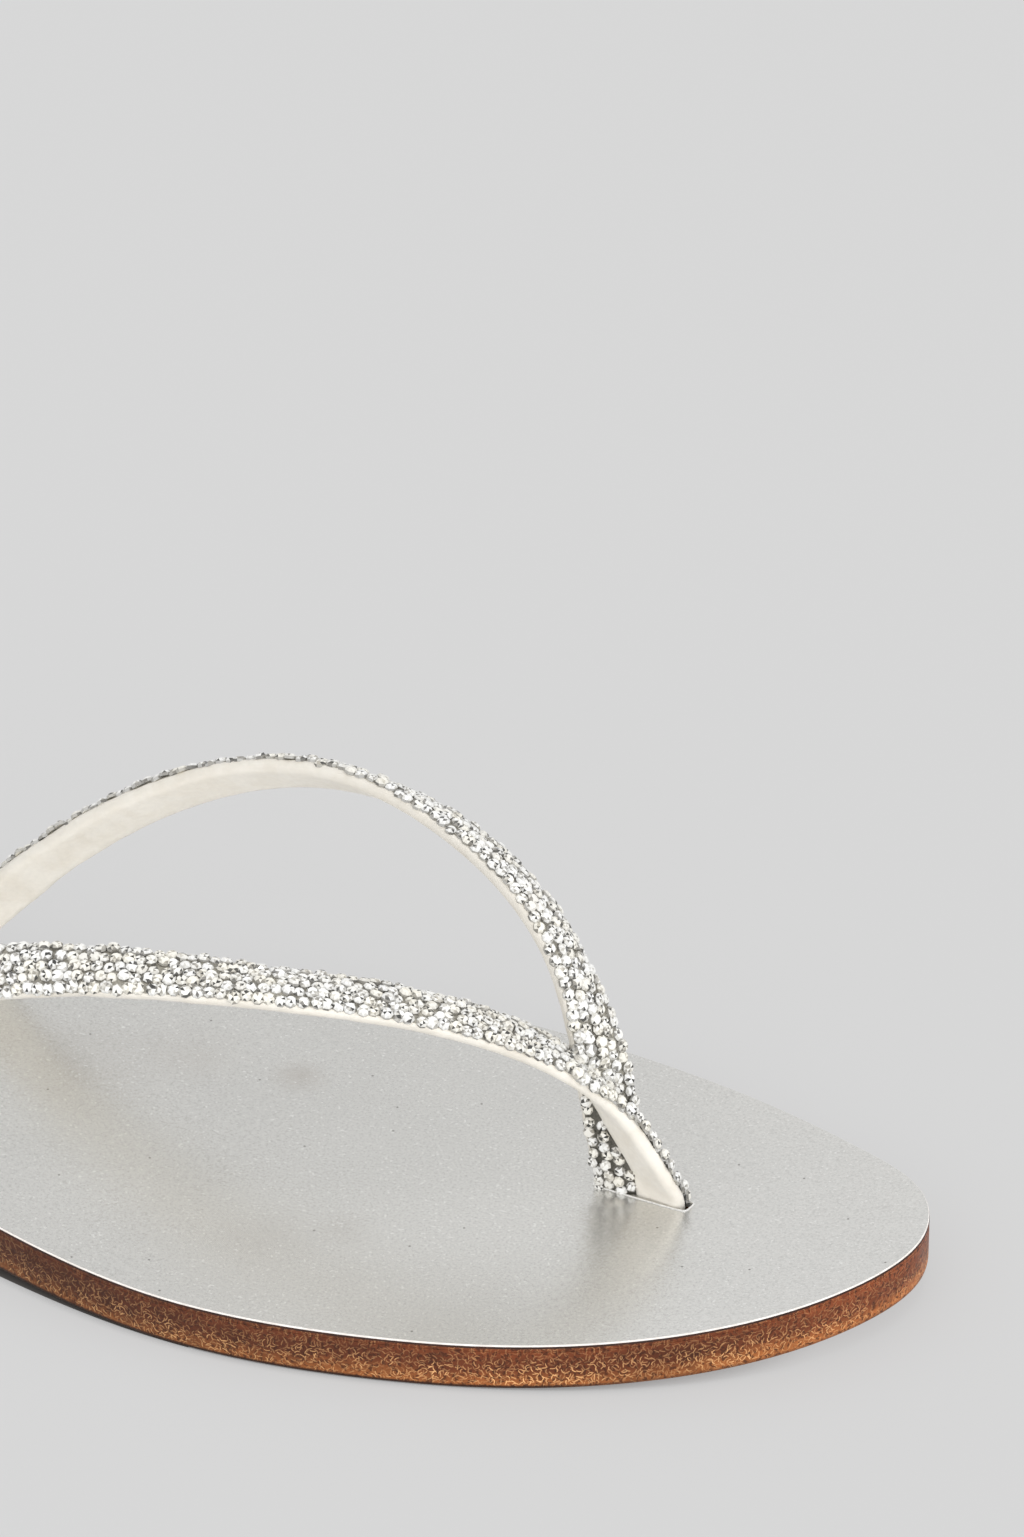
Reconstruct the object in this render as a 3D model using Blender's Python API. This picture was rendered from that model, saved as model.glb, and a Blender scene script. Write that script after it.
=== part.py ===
"""A flat thong sandal for the right foot: leather sole with a low heel, silver insole, two stone-set straps.

Frame: +X to the toe, +Y to the inner (medial) side of the foot, +Z up, origin on the floor under the middle.
Tables are in millimetres, and meshes are made in metres.
"""
from collections import namedtuple

import bmesh
import bpy
import numpy as np

MM = 0.001

# Driving sizes, in millimetres.
LENGTH = 252.0
BALL_WIDTH = 89.0
SOLE_THICKNESS = 6.4
INSOLE_THICKNESS = 1.1
SEAT_GAP = 0.3
TOE_SPRING = 4.0
HEEL_LIFT = 6.0
HEEL_LENGTH = 50.0
HEEL_INSET = 0.8

# Where the tread is flat, as distances from the middle of the shoe.
TREAD_FRONT = 68.0
TREAD_BACK = 34.0

# The straps.
STRAP_WIDTH = 8.5
STRAP_THICKNESS = 2.4
STRAP_CROWN = 0.5
SLIT_CLEARANCE = 0.4
STONE_HEIGHT = 0.7
STONE_MARGIN = 0.3
TOE_SLOT_X = 82.0
TOE_SLOT_Y = 10.5

# How high above the insole the slit cutters reach, and where the stones end at the sides and in the toe slot.
SLIT_REACH = 4.0
STONES_END_SIDE = 3.5
STONES_END_TOE = 0.6

# How finely the curves are cut into flat faces.
STATIONS = 72
CURVE_STEPS = 1440
STRAP_STEPS = 512
STRAP_SECTIONS = 64
SECTION_SHARES = np.linspace(-1, 1, 7)

# The sole's outline: share of the length from heel to toe, and share of the ball width to the inner side.
OutlinePoint = namedtuple("OutlinePoint", "place along across")
OUTLINE = (
    OutlinePoint("toe tip", 1.000, 0.146),
    OutlinePoint("outer toe", 0.982, -0.022),
    OutlinePoint("little toe", 0.889, -0.275),
    OutlinePoint("outer ball, front", 0.762, -0.433),
    OutlinePoint("outer ball", 0.627, -0.500),
    OutlinePoint("outer waist, front", 0.500, -0.458),
    OutlinePoint("outer waist", 0.329, -0.364),
    OutlinePoint("outer heel", 0.119, -0.335),
    OutlinePoint("heel corner, outer", 0.032, -0.208),
    OutlinePoint("heel back", 0.000, 0.000),
    OutlinePoint("heel corner, inner", 0.032, 0.208),
    OutlinePoint("inner heel", 0.119, 0.328),
    OutlinePoint("inner waist", 0.349, 0.258),
    OutlinePoint("inner waist, front", 0.528, 0.435),
    OutlinePoint("inner ball", 0.714, 0.500),
    OutlinePoint("big toe, side", 0.825, 0.468),
    OutlinePoint("big toe", 0.930, 0.371),
    OutlinePoint("inner toe", 0.980, 0.281),
)

# A strap's rows run from the toe slot to its side slit. Each gives the middle of the strap's outer face, ahead
# of and inside the toe slot's middle and above the tread, and the direction across it to its toe-side edge.
StrapRow = namedtuple("StrapRow", "ahead inside height across")
LATERAL_STRAP = (
    StrapRow(2.6, 0.95, 2.8, (0.98, -0.17, 0.06)),
    StrapRow(2.6, 1.2, 8.8, (0.98, -0.17, 0.06)),
    StrapRow(1.6, 0.35, 13.5, (0.87, -0.42, 0.25)),
    StrapRow(-2.4, -0.4, 20.4, (0.74, -0.51, 0.44)),
    StrapRow(-11.2, -3.4, 31.0, (0.55, -0.82, 0.11)),
    StrapRow(-28.2, -13.4, 40.9, (0.48, -0.88, -0.04)),
    StrapRow(-54.9, -25.6, 45.6, (0.34, -0.94, -0.11)),
    StrapRow(-90.2, -35.8, 42.9, (0.33, -0.78, -0.53)),
    StrapRow(-114.0, -38.5, 26.5, (0.55, -0.50, -0.65)),
    StrapRow(-127.0, -37.0, 8.5, (0.75, -0.10, -0.60)),
)
MEDIAL_STRAP = (
    StrapRow(-3.5, -0.8, 2.8, (1.00, 0.08, 0.00)),
    StrapRow(-3.5, -0.6, 8.8, (1.00, 0.16, 0.00)),
    StrapRow(-5.3, 0.4, 17.4, (0.84, 0.53, 0.14)),
    StrapRow(-7.8, 2.0, 27.3, (0.56, 0.83, 0.06)),
    StrapRow(-16.7, 6.7, 43.8, (0.08, 0.93, -0.35)),
    StrapRow(-36.8, 13.8, 54.6, (0.09, 0.88, -0.46)),
    StrapRow(-64.1, 17.0, 56.2, (0.15, 0.67, -0.73)),
    StrapRow(-92.1, 15.3, 43.5, (0.38, 0.62, -0.68)),
    StrapRow(-112.8, 10.6, 25.4, (0.46, 0.54, -0.66)),
    StrapRow(-127.0, 7.5, 8.5, (0.70, 0.15, -0.65)),
)


# Curves through the tables.
def spline_slopes(knots, values, closed):
    """Slopes at the knots of the cubic spline through the values, closed or with free ends."""
    count = len(knots)
    steps = np.diff(knots)
    system = np.zeros((count, count))
    right = np.zeros((count, values.shape[1]))
    rises = np.diff(values, axis=0) / steps[:, None]
    for row in range(1, count - 1):
        before, after = steps[row - 1], steps[row]
        system[row, row - 1:row + 2] = after, 2 * (before + after), before
        right[row] = 3 * (after * rises[row - 1] + before * rises[row])
    if closed:
        before, after = steps[-1], steps[0]
        system[0, -2], system[0, 0], system[0, 1] = after, 2 * (before + after), before
        right[0] = 3 * (after * rises[-1] + before * rises[0])
        system[-1, 0], system[-1, -1] = 1, -1
    else:
        system[0, :2] = 2, 1
        system[-1, -2:] = 1, 2
        right[0], right[-1] = 3 * rises[0], 3 * rises[-1]
    return np.linalg.solve(system, right)


def spline(knots, values, places, closed=False):
    """Points of the smooth curve through the values, at the given places along the knots."""
    knots = np.asarray(knots, float)
    values = np.asarray(values, float)
    slopes = spline_slopes(knots, values, closed)
    first = np.clip(np.searchsorted(knots, places, side="right") - 1, 0, len(knots) - 2)
    step = (knots[first + 1] - knots[first])[:, None]
    share = (places - knots[first])[:, None] / step
    low, high = values[first], values[first + 1]
    return (
        low * (1 + 2 * share) * (1 - share) ** 2
        + slopes[first] * step * share * (1 - share) ** 2
        + high * share ** 2 * (3 - 2 * share)
        + slopes[first + 1] * step * share ** 2 * (share - 1)
    )


# The sole's forms.
def tread_height(x):
    """Height of the sole's underside: flat at the ball, sprung at the toe, raised to the heel."""
    x = np.asarray(x, float)
    toe = np.clip((x - TREAD_FRONT) / (LENGTH / 2 - TREAD_FRONT), 0, 1)
    heel_breast = HEEL_LENGTH - LENGTH / 2
    arch = np.clip((TREAD_BACK - x) / (TREAD_BACK - heel_breast), 0, 1)
    return TOE_SPRING * toe ** 2 + HEEL_LIFT * arch ** 2 * (3 - 2 * arch)


def insole_top(x):
    return tread_height(x) + SOLE_THICKNESS + SEAT_GAP + INSOLE_THICKNESS


def outline_sides(inset=0.0):
    """Stations along the shoe with the outline's outer and inner edge at each, pulled in by the inset."""
    points = np.array([(p.along, p.across) for p in OUTLINE]) * (LENGTH, BALL_WIDTH)
    points = np.vstack([points, points[:1]])
    chords = np.linalg.norm(np.diff(points, axis=0), axis=1)
    knots = np.concatenate([[0.0], np.cumsum(chords)])
    curve = spline(knots, points, np.linspace(0, knots[-1], CURVE_STEPS + 1), closed=True)
    low, high = curve.min(axis=0), curve.max(axis=0)
    curve = (curve - (low + high) / 2) * (LENGTH, BALL_WIDTH) / (high - low)
    tangent = np.gradient(curve, axis=0)
    tangent /= np.linalg.norm(tangent, axis=1)[:, None]
    curve = curve + inset * np.stack([tangent[:, 1], -tangent[:, 0]], axis=1)
    tip, back = curve[:, 0].argmax() % CURVE_STEPS, curve[:, 0].argmin()
    outer = curve[np.arange(tip, tip + (back - tip) % CURVE_STEPS + 1) % CURVE_STEPS]
    inner = curve[np.arange(back, back + (tip - back) % CURVE_STEPS + 1) % CURVE_STEPS]
    middle, half = (outer[0, 0] + outer[-1, 0]) / 2, (outer[0, 0] - outer[-1, 0]) / 2
    x = middle - half * np.cos(np.linspace(0, np.pi, STATIONS + 1))
    outer_y = np.interp(x, outer[::-1, 0], outer[::-1, 1])
    inner_y = np.interp(x, inner[:, 0], inner[:, 1])
    return x, outer_y, inner_y


def board_mesh(name, x, outer_y, inner_y, bottom, top):
    """Closed board between two height lines, its edge on the given outline."""
    mesh = bmesh.new()
    rings = []
    for place, outer, inner, low, high in zip(x, outer_y, inner_y, bottom, top):
        corners = ((outer, low), (inner, low), (inner, high), (outer, high))
        rings.append([mesh.verts.new((place * MM, y * MM, z * MM)) for y, z in corners])
    for ring, following in zip(rings[:-1], rings[1:]):
        for k in range(4):
            after = (k + 1) % 4
            mesh.faces.new((ring[k], following[k], following[after], ring[after]))
    mesh.faces.new(rings[0])
    mesh.faces.new(reversed(rings[-1]))
    bmesh.ops.remove_doubles(mesh, verts=mesh.verts, dist=0.001 * MM)
    return finish_mesh(name, mesh)


# The straps' forms.
StrapPath = namedtuple("StrapPath", "middle along across outward")


def strap_path(rows, outward_sign):
    """Frames along a strap: the middle of its outer face and the directions along, across and out of it."""
    knots = np.arange(len(rows), dtype=float)
    table = np.array([
        (TOE_SLOT_X + row.ahead, TOE_SLOT_Y + row.inside, row.height) + row.across for row in rows
    ])
    smooth = spline(knots, table, np.linspace(0, knots[-1], STRAP_STEPS + 1))
    lengths = np.linalg.norm(np.diff(smooth[:, :3], axis=0), axis=1)
    travelled = np.concatenate([[0.0], np.cumsum(lengths)])
    even = np.linspace(0, travelled[-1], STRAP_SECTIONS + 1)
    frames = np.stack([np.interp(even, travelled, column) for column in smooth.T], axis=1)
    middle = frames[:, :3]
    along = unit(np.gradient(middle, axis=0))
    across = frames[:, 3:] - along * (frames[:, 3:] * along).sum(axis=1)[:, None]
    across = unit(across)
    return StrapPath(middle, along, across, outward_sign * np.cross(along, across))


def unit(vectors):
    return vectors / np.linalg.norm(vectors, axis=1)[:, None]


def crown(share):
    """How far the outer face falls away at a share of the half width from the strap's middle."""
    return -STRAP_CROWN * share ** 2


def strap_profile(grow=0.0, stones=0.0):
    """Strap section as (across, outward) pairs, grown all round, with room for stones on its outer face."""
    half = STRAP_WIDTH / 2
    outer = [(share * (half + grow), crown(share) + grow + stones) for share in SECTION_SHARES]
    inner = [(share * (half + grow), -STRAP_THICKNESS - grow) for share in SECTION_SHARES[::-1]]
    return outer + inner


def stone_profile():
    """Section of the band of stones: a crowned layer just off the strap's outer face."""
    half = STRAP_WIDTH / 2 - STONE_MARGIN
    top = [(share * half, crown(share) + SEAT_GAP + STONE_HEIGHT) for share in SECTION_SHARES]
    bottom = [(share * half, crown(share) + SEAT_GAP) for share in SECTION_SHARES[::-1]]
    return top + bottom


def band_mesh(name, path, profile, chosen, reach=0.0):
    """Closed band along the chosen frames of a path, lengthened at both ends by the reach."""
    mesh = bmesh.new()
    rings = []
    chosen = list(chosen)
    for place in chosen:
        end = (place == chosen[-1]) * 1 - (place == chosen[0]) * 1
        centre = path.middle[place] + path.along[place] * reach * end
        corners = [centre + path.across[place] * a + path.outward[place] * o for a, o in profile]
        rings.append([mesh.verts.new(corner * MM) for corner in corners])
    count = len(profile)
    for ring, following in zip(rings[:-1], rings[1:]):
        for k in range(count):
            after = (k + 1) % count
            mesh.faces.new((ring[k], ring[after], following[after], following[k]))
    mesh.faces.new(reversed(rings[0]))
    mesh.faces.new(rings[-1])
    return finish_mesh(name, mesh)


# Blender's side of the work.
def finish_mesh(name, mesh):
    bmesh.ops.recalc_face_normals(mesh, faces=mesh.faces)
    data = bpy.data.meshes.new(name)
    mesh.to_mesh(data)
    mesh.free()
    return data


def clear_scene():
    for thing in list(bpy.data.objects):
        bpy.data.objects.remove(thing, do_unlink=True)


def new_collection(name):
    collection = bpy.data.collections.new(name)
    bpy.context.scene.collection.children.link(collection)
    return collection


def new_object(name, data, collection):
    thing = bpy.data.objects.new(name, data)
    collection.objects.link(thing)
    return thing


def new_cutter(name, data, collection):
    cutter = new_object(name, data, collection)
    cutter.hide_render = True
    cutter.display_type = "WIRE"
    return cutter


def new_material(name, colour, roughness, metallic=0.0):
    material = bpy.data.materials.new(name)
    material.use_nodes = True
    shader = material.node_tree.nodes["Principled BSDF"]
    shader.inputs["Base Color"].default_value = (*colour, 1.0)
    shader.inputs["Roughness"].default_value = roughness
    shader.inputs["Metallic"].default_value = metallic
    return material


def boolean(thing, other, operation):
    step = thing.modifiers.new(f"{operation.lower()} {other.name}", "BOOLEAN")
    step.operation = operation
    step.solver = "EXACT"
    step.object = other


def bodies_of(thing):
    """The separate closed bodies of an object's evaluated mesh, as new meshes, the largest first."""
    graph = bpy.context.evaluated_depsgraph_get()
    whole = bmesh.new()
    whole.from_mesh(bpy.data.meshes.new_from_object(thing.evaluated_get(graph)))
    left = set(whole.faces)
    groups = []
    while left:
        group, edge = set(), [left.pop()]
        while edge:
            face = edge.pop()
            group.add(face)
            near = {other for side in face.edges for other in side.link_faces} & left
            left -= near
            edge.extend(near)
        groups.append(group)
    groups.sort(key=len, reverse=True)
    meshes = []
    for group in groups:
        body = bmesh.new()
        copies = {}
        for face in group:
            for vert in face.verts:
                if vert not in copies:
                    copies[vert] = body.verts.new(vert.co)
            body.faces.new([copies[vert] for vert in face.verts])
        meshes.append(finish_mesh(thing.name, body))
    whole.free()
    return meshes


# The pieces.
def build_sole(parts, slits):
    x, outer_y, inner_y = outline_sides()
    bottom = tread_height(x)
    sole = new_object("sole", board_mesh("sole", x, outer_y, inner_y, bottom, bottom + SOLE_THICKNESS), parts)
    for slit in slits:
        boolean(sole, slit, "DIFFERENCE")
    sole.data.materials.append(new_material("brown sole leather", (0.16, 0.06, 0.025), 0.5))


def build_heel(parts):
    all_x, all_outer, all_inner = outline_sides(HEEL_INSET)
    breast = HEEL_LENGTH - LENGTH / 2
    x = np.append(all_x[all_x < breast - 1.0], breast)
    outer_y = np.interp(x, all_x, all_outer)
    inner_y = np.interp(x, all_x, all_inner)
    top = tread_height(x) - SEAT_GAP
    heel = new_object("heel", board_mesh("heel", x, outer_y, inner_y, np.zeros(len(x)), top), parts)
    heel.data.materials.append(new_material("stacked heel leather", (0.13, 0.05, 0.022), 0.55))


def build_insole(parts, slits):
    x, outer_y, inner_y = outline_sides()
    top = insole_top(x)
    insole = new_object("insole", board_mesh("insole", x, outer_y, inner_y, top - INSOLE_THICKNESS, top), parts)
    for slit in slits:
        boolean(insole, slit, "DIFFERENCE")
    insole.data.materials.append(new_material("silver insole leather", (0.58, 0.58, 0.55), 0.42, 0.6))


def above_insole(path, clearance):
    """Frames of a strap that stand clear of the insole by at least the clearance."""
    return [k for k in range(len(path.middle)) if path.middle[k, 2] - insole_top(path.middle[k, 0]) > clearance]


def slit_cutters(cutters, name, path):
    """Two cutters, for the toe slot and the side slit, a little larger than the strap's two ends."""
    free = above_insole(path, SLIT_REACH)
    ends = {"toe": range(0, free[0] + 1), "side": range(free[-1], len(path.middle))}
    profile = strap_profile(grow=SLIT_CLEARANCE)
    return [
        new_cutter(f"{name} {end} slit", band_mesh(f"{name} {end} slit", path, profile, chosen, SEAT_GAP), cutters)
        for end, chosen in ends.items()
    ]


def build_straps(parts, cutters, lateral, medial):
    every = range(STRAP_SECTIONS + 1)
    upper = new_object("upper", band_mesh("upper", lateral, strap_profile(), every), parts)
    other = new_cutter("medial strap", band_mesh("medial strap", medial, strap_profile(), every), cutters)
    boolean(upper, other, "UNION")
    upper.data.materials.append(new_material("cream strap leather", (0.85, 0.81, 0.73), 0.6))


def build_stone_trims(parts, cutters, lateral, medial):
    finish = {"colour": (0.75, 0.74, 0.70), "roughness": 0.15, "metallic": 0.4}
    every = range(STRAP_SECTIONS + 1)
    room = {
        "lateral": new_cutter("room for lateral strap", band_mesh(
            "room for lateral strap", lateral, strap_profile(grow=SEAT_GAP), every), cutters),
        "medial": new_cutter("room for medial strap", band_mesh(
            "room for medial strap", medial, strap_profile(SEAT_GAP, SEAT_GAP + STONE_HEIGHT), every), cutters),
    }
    for path, other, names in (
        (lateral, "medial", ["stone_trim_lateral"]),
        (medial, "lateral", ["stone_trim_medial", "stone_trim_toe"]),
    ):
        free = above_insole(path, STONES_END_SIDE)
        toe_end = above_insole(path, STONES_END_TOE)[0]
        chosen = range(toe_end, free[-1] + 1)
        whole = new_object(f"{names[0]} uncut", band_mesh(names[0], path, stone_profile(), chosen), cutters)
        boolean(whole, room[other], "DIFFERENCE")
        for name, body in zip(names, bodies_of(whole)):
            trim = new_object(name, body, parts)
            trim.data.materials.append(new_material(f"{name} stones", **finish))
        bpy.data.objects.remove(whole, do_unlink=True)


def main():
    clear_scene()
    parts = new_collection("thong sandal")
    cutters = new_collection("cutters")
    lateral = strap_path(LATERAL_STRAP, 1)
    medial = strap_path(MEDIAL_STRAP, -1)
    slits = slit_cutters(cutters, "lateral", lateral) + slit_cutters(cutters, "medial", medial)
    build_sole(parts, slits)
    build_heel(parts)
    build_insole(parts, slits)
    build_straps(parts, cutters, lateral, medial)
    build_stone_trims(parts, cutters, lateral, medial)


main()
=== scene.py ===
"""Looks of a flat thong sandal for the right foot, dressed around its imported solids.

Frame: +X to the toe, +Y to the inner side of the foot, +Z up, origin on the floor under the middle.
The tables of the outline and the straps are in millimetres, and the meshes are in metres.
"""

import math
from collections import namedtuple

import bmesh
import bpy
import numpy as np
from bpy.props import FloatProperty, FloatVectorProperty, IntProperty, PointerProperty
from mathutils import Matrix, Vector, noise
from mathutils.bvhtree import BVHTree


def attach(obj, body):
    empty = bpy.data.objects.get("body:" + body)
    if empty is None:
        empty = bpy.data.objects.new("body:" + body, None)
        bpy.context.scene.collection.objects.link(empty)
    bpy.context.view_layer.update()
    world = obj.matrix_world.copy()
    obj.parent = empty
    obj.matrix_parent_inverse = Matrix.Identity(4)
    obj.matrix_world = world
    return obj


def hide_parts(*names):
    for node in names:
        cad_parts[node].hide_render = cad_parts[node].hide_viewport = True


bl_info = {
    "name": "Thong Sandal",
    "version": (1, 0, 0),
    "blender": (4, 5, 0),
    "location": "View3D > Sidebar > Sandal",
    "description": "Dresses the packed sandal in leather, silver and set stones",
    "category": "Add Mesh",
}

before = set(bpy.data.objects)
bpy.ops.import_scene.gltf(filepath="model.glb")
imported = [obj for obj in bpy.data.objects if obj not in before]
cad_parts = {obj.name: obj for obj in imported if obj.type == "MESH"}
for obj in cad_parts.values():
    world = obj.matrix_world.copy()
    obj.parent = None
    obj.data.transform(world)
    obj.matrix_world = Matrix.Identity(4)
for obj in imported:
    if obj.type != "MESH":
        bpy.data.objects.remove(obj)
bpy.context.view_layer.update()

MM = 0.001

# The shoe's own sizes, in millimetres.
LENGTH = 252.0
BALL_WIDTH = 89.0
SOLE_THICKNESS = 6.4
SEAT_GAP = 0.3
INSOLE_THICKNESS = 1.1
TOE_SPRING = 4.0
HEEL_LIFT = 6.0
HEEL_LENGTH = 50.0
HEEL_BREAST = HEEL_LENGTH - LENGTH / 2
TREAD_FRONT = 68.0
TREAD_BACK = 34.0
STRAP_WIDTH = 8.5
STRAP_THICKNESS = 2.4
STRAP_CROWN = 0.5
BED_FOLD = 0.8
BED_INSET = 0.15
BED_CORNER = 0.3
SEAT_DROP = 0.3
SLIT_ROUND = 0.3
SLIT_FLOOR = 2.4
SLIT_CUT = 12.0
TOE_SLOT_X = 82.0
TOE_SLOT_Y = 10.5
TOE_SLOT_SPARE = 1.0

# How much rounder a strap's inner edges are than its outer ones, how far its skin wanders, and how far
# in from its edges the painted shade on them reaches, in millimetres. The skin's long and short waves are
# per millimetre.
STRAP_SOFTER = 0.7
STRAP_WANDER = 0.4
STRAP_EDGE_SHADE = 1.0
LONG_WAVES = 0.15
SHORT_WAVES = 0.55

# Heights over the insole, in millimetres, where a strap's stones begin at the toe and end at the side.
BED_TOE_HEIGHT = -0.4
BED_SIDE_HEIGHT = 3.2

# Back end and top, in metres, of the patch of small stones below the straps' crossing on a bed with painted
# shade, the distance over which it begins, and its stones' size and its bed's shaded tone as shares of the
# usual.
PATCH_BACK = 0.0675
PATCH_TOP = 0.0245
PATCH_BLEND = 0.003
PATCH_STONE = 0.88
PATCH_BED_SHADE = 0.38

# Height of a stone's point as a share of its width, its most lean in radians and most drift in metres.
STONE_RISE = 0.30
STONE_TILT = 0.16
STONE_DRIFT = 0.00027

# The stones' rows, in millimetres: where they begin past the toe end of their bed, how much further on
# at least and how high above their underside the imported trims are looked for, and where the one row on
# the edge begins and how far it runs.
ROW_START = 0.3
PROBE_START = 5.0
PROBE_RISE = 0.45
EDGE_ROW_START = 1.0
EDGE_ROW_RUN = 26.0

# The part of its range that a noise mostly keeps to.
NOISE_LOW = 0.3
NOISE_HIGH = 0.7

# Bend of the fibres in a cut edge, per metre, and where they begin and end to fade, to the side and
# along, in metres from their middle.
FIBRE_BEND = 1500.0
FIBRE_WIDTH = (0.00005, 0.00011)
FIBRE_LENGTH = (0.0004, 0.00055)

# Light of the surroundings and of the floor, and the floor shade's reach under the heel in millimetres.
WORLD_STRENGTH = 0.86
FLOOR_GLOW = 0.70
SHADE_UNDER_HEEL = 1.5

# Lamps: strength, spread in degrees, direction from the shoe, and whether they show in glossy surfaces.
Lamp = namedtuple("Lamp", "name strength spread towards glossy")
LAMPS = (
    Lamp("key softbox", 1.05, 60, (0.9, -0.15, 0.42), False),
    Lamp("front softbox", 1.55, 80, (0.25, -0.95, 0.14), False),
    Lamp("glint lamp", 0.12, 6, (0.15, -0.1, 1.0), True),
)

# The camera's direction from the shoe in degrees, its place in metres and its lens in millimetres.
CAMERA_TURN = 26.0
CAMERA_RISE = 32.0
CAMERA_PLACE = (0.53271, -0.95874, 0.75065)
CAMERA_LENS = 204.0

# How finely the outline, the straps, the slits and their lips are divided.
CURVE_STEPS = 1440
STRAP_STEPS = 1200
STRAP_SECTIONS = 220
SLIT_SECTIONS = 600
LIP_STEPS = 96
LIP_SIDES = 8

# The sole's outline: share of the length from heel to toe, and share of the ball width to the inner side.
OutlinePoint = namedtuple("OutlinePoint", "place along across")
OUTLINE = (
    OutlinePoint("toe tip", 1.000, 0.146),
    OutlinePoint("outer toe", 0.982, -0.022),
    OutlinePoint("little toe", 0.889, -0.275),
    OutlinePoint("outer ball, front", 0.762, -0.433),
    OutlinePoint("outer ball", 0.627, -0.500),
    OutlinePoint("outer waist, front", 0.500, -0.458),
    OutlinePoint("outer waist", 0.329, -0.364),
    OutlinePoint("outer heel", 0.119, -0.335),
    OutlinePoint("heel corner, outer", 0.032, -0.208),
    OutlinePoint("heel back", 0.000, 0.000),
    OutlinePoint("heel corner, inner", 0.032, 0.208),
    OutlinePoint("inner heel", 0.119, 0.328),
    OutlinePoint("inner waist", 0.349, 0.258),
    OutlinePoint("inner waist, front", 0.528, 0.435),
    OutlinePoint("inner ball", 0.714, 0.500),
    OutlinePoint("big toe, side", 0.825, 0.468),
    OutlinePoint("big toe", 0.930, 0.371),
    OutlinePoint("inner toe", 0.980, 0.281),
)

# A strap's rows run from the toe slot to its side slit. Each gives the middle of the strap's outer
# face, ahead of and inside the toe slot's middle and above the floor, and the direction across it
# to its toe-side edge.
StrapRow = namedtuple("StrapRow", "ahead inside height across")
LATERAL_STRAP = (
    StrapRow(2.6, 0.95, 2.8, (0.98, -0.17, 0.06)),
    StrapRow(2.6, 1.2, 8.8, (0.98, -0.17, 0.06)),
    StrapRow(1.6, 0.35, 13.5, (0.87, -0.42, 0.25)),
    StrapRow(-2.4, -0.4, 20.4, (0.74, -0.51, 0.44)),
    StrapRow(-11.2, -3.4, 31.0, (0.55, -0.82, 0.11)),
    StrapRow(-28.2, -13.4, 40.9, (0.48, -0.88, -0.04)),
    StrapRow(-54.9, -25.6, 45.6, (0.34, -0.94, -0.11)),
    StrapRow(-90.2, -35.8, 42.9, (0.33, -0.78, -0.53)),
    StrapRow(-114.0, -38.5, 26.5, (0.55, -0.50, -0.65)),
    StrapRow(-127.0, -37.0, 8.5, (0.75, -0.10, -0.60)),
)
MEDIAL_STRAP = (
    StrapRow(-3.5, -0.8, 2.8, (1.00, 0.08, 0.00)),
    StrapRow(-3.5, -0.6, 8.8, (1.00, 0.16, 0.00)),
    StrapRow(-5.3, 0.4, 17.4, (0.84, 0.53, 0.14)),
    StrapRow(-7.8, 2.0, 27.3, (0.56, 0.83, 0.06)),
    StrapRow(-16.7, 6.7, 43.8, (0.08, 0.93, -0.35)),
    StrapRow(-36.8, 13.8, 54.6, (0.09, 0.88, -0.46)),
    StrapRow(-64.1, 17.0, 56.2, (0.15, 0.67, -0.73)),
    StrapRow(-92.1, 15.3, 43.5, (0.38, 0.62, -0.68)),
    StrapRow(-112.8, 10.6, 25.4, (0.46, 0.54, -0.66)),
    StrapRow(-127.0, 7.5, 8.5, (0.70, 0.15, -0.65)),
)

# Stacked outlines of a board, from the bottom up: how far in, how high, and the finish of the band
# below it.
Level = namedtuple("Level", "inset height finish")


def srgb(red, green, blue):
    """A colour as seen on a screen, 0 to 255, made linear."""
    shares = np.array((red, green, blue)) / 255
    return tuple(np.where(shares <= 0.04045, shares / 12.92, ((shares + 0.055) / 1.055) ** 2.4))


class SandalSizes(bpy.types.PropertyGroup):
    stone_pitch: FloatProperty(
        name="Stone pitch", description="Distance from stone to stone along a strap",
        default=0.00172, min=0.001, max=0.004, unit="LENGTH", precision=5)
    stone_diameter: FloatProperty(
        name="Stone diameter", description="Width of one stone at its girdle",
        default=0.00210, min=0.0008, max=0.004, unit="LENGTH", precision=5)
    stone_rows: IntProperty(
        name="Stone rows", description="Rows of stones across a strap", default=5, min=1, max=9)
    stone_seed: IntProperty(
        name="Stone seed", description="Seed of the stones' small differences", default=7, min=0)
    bed_thickness: FloatProperty(
        name="Bed thickness", description="Thickness of the metal mesh that the stones are set in",
        default=0.00034, min=0.0001, max=0.001, unit="LENGTH", precision=5)
    strap_round: FloatProperty(
        name="Strap edge", description="Radius of the straps' rounded edges",
        default=0.0006, min=0.0001, max=0.001, unit="LENGTH", precision=5)
    slit_gap: FloatProperty(
        name="Slit gap", description="Room between a strap and the edge of its slit in the insole",
        default=0.00028, min=0.0001, max=0.001, unit="LENGTH", precision=5)
    lip_radius: FloatProperty(
        name="Slit lip", description="Radius of the turned lip round each slit",
        default=0.0002, min=0.00005, max=0.001, unit="LENGTH", precision=5)


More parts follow.
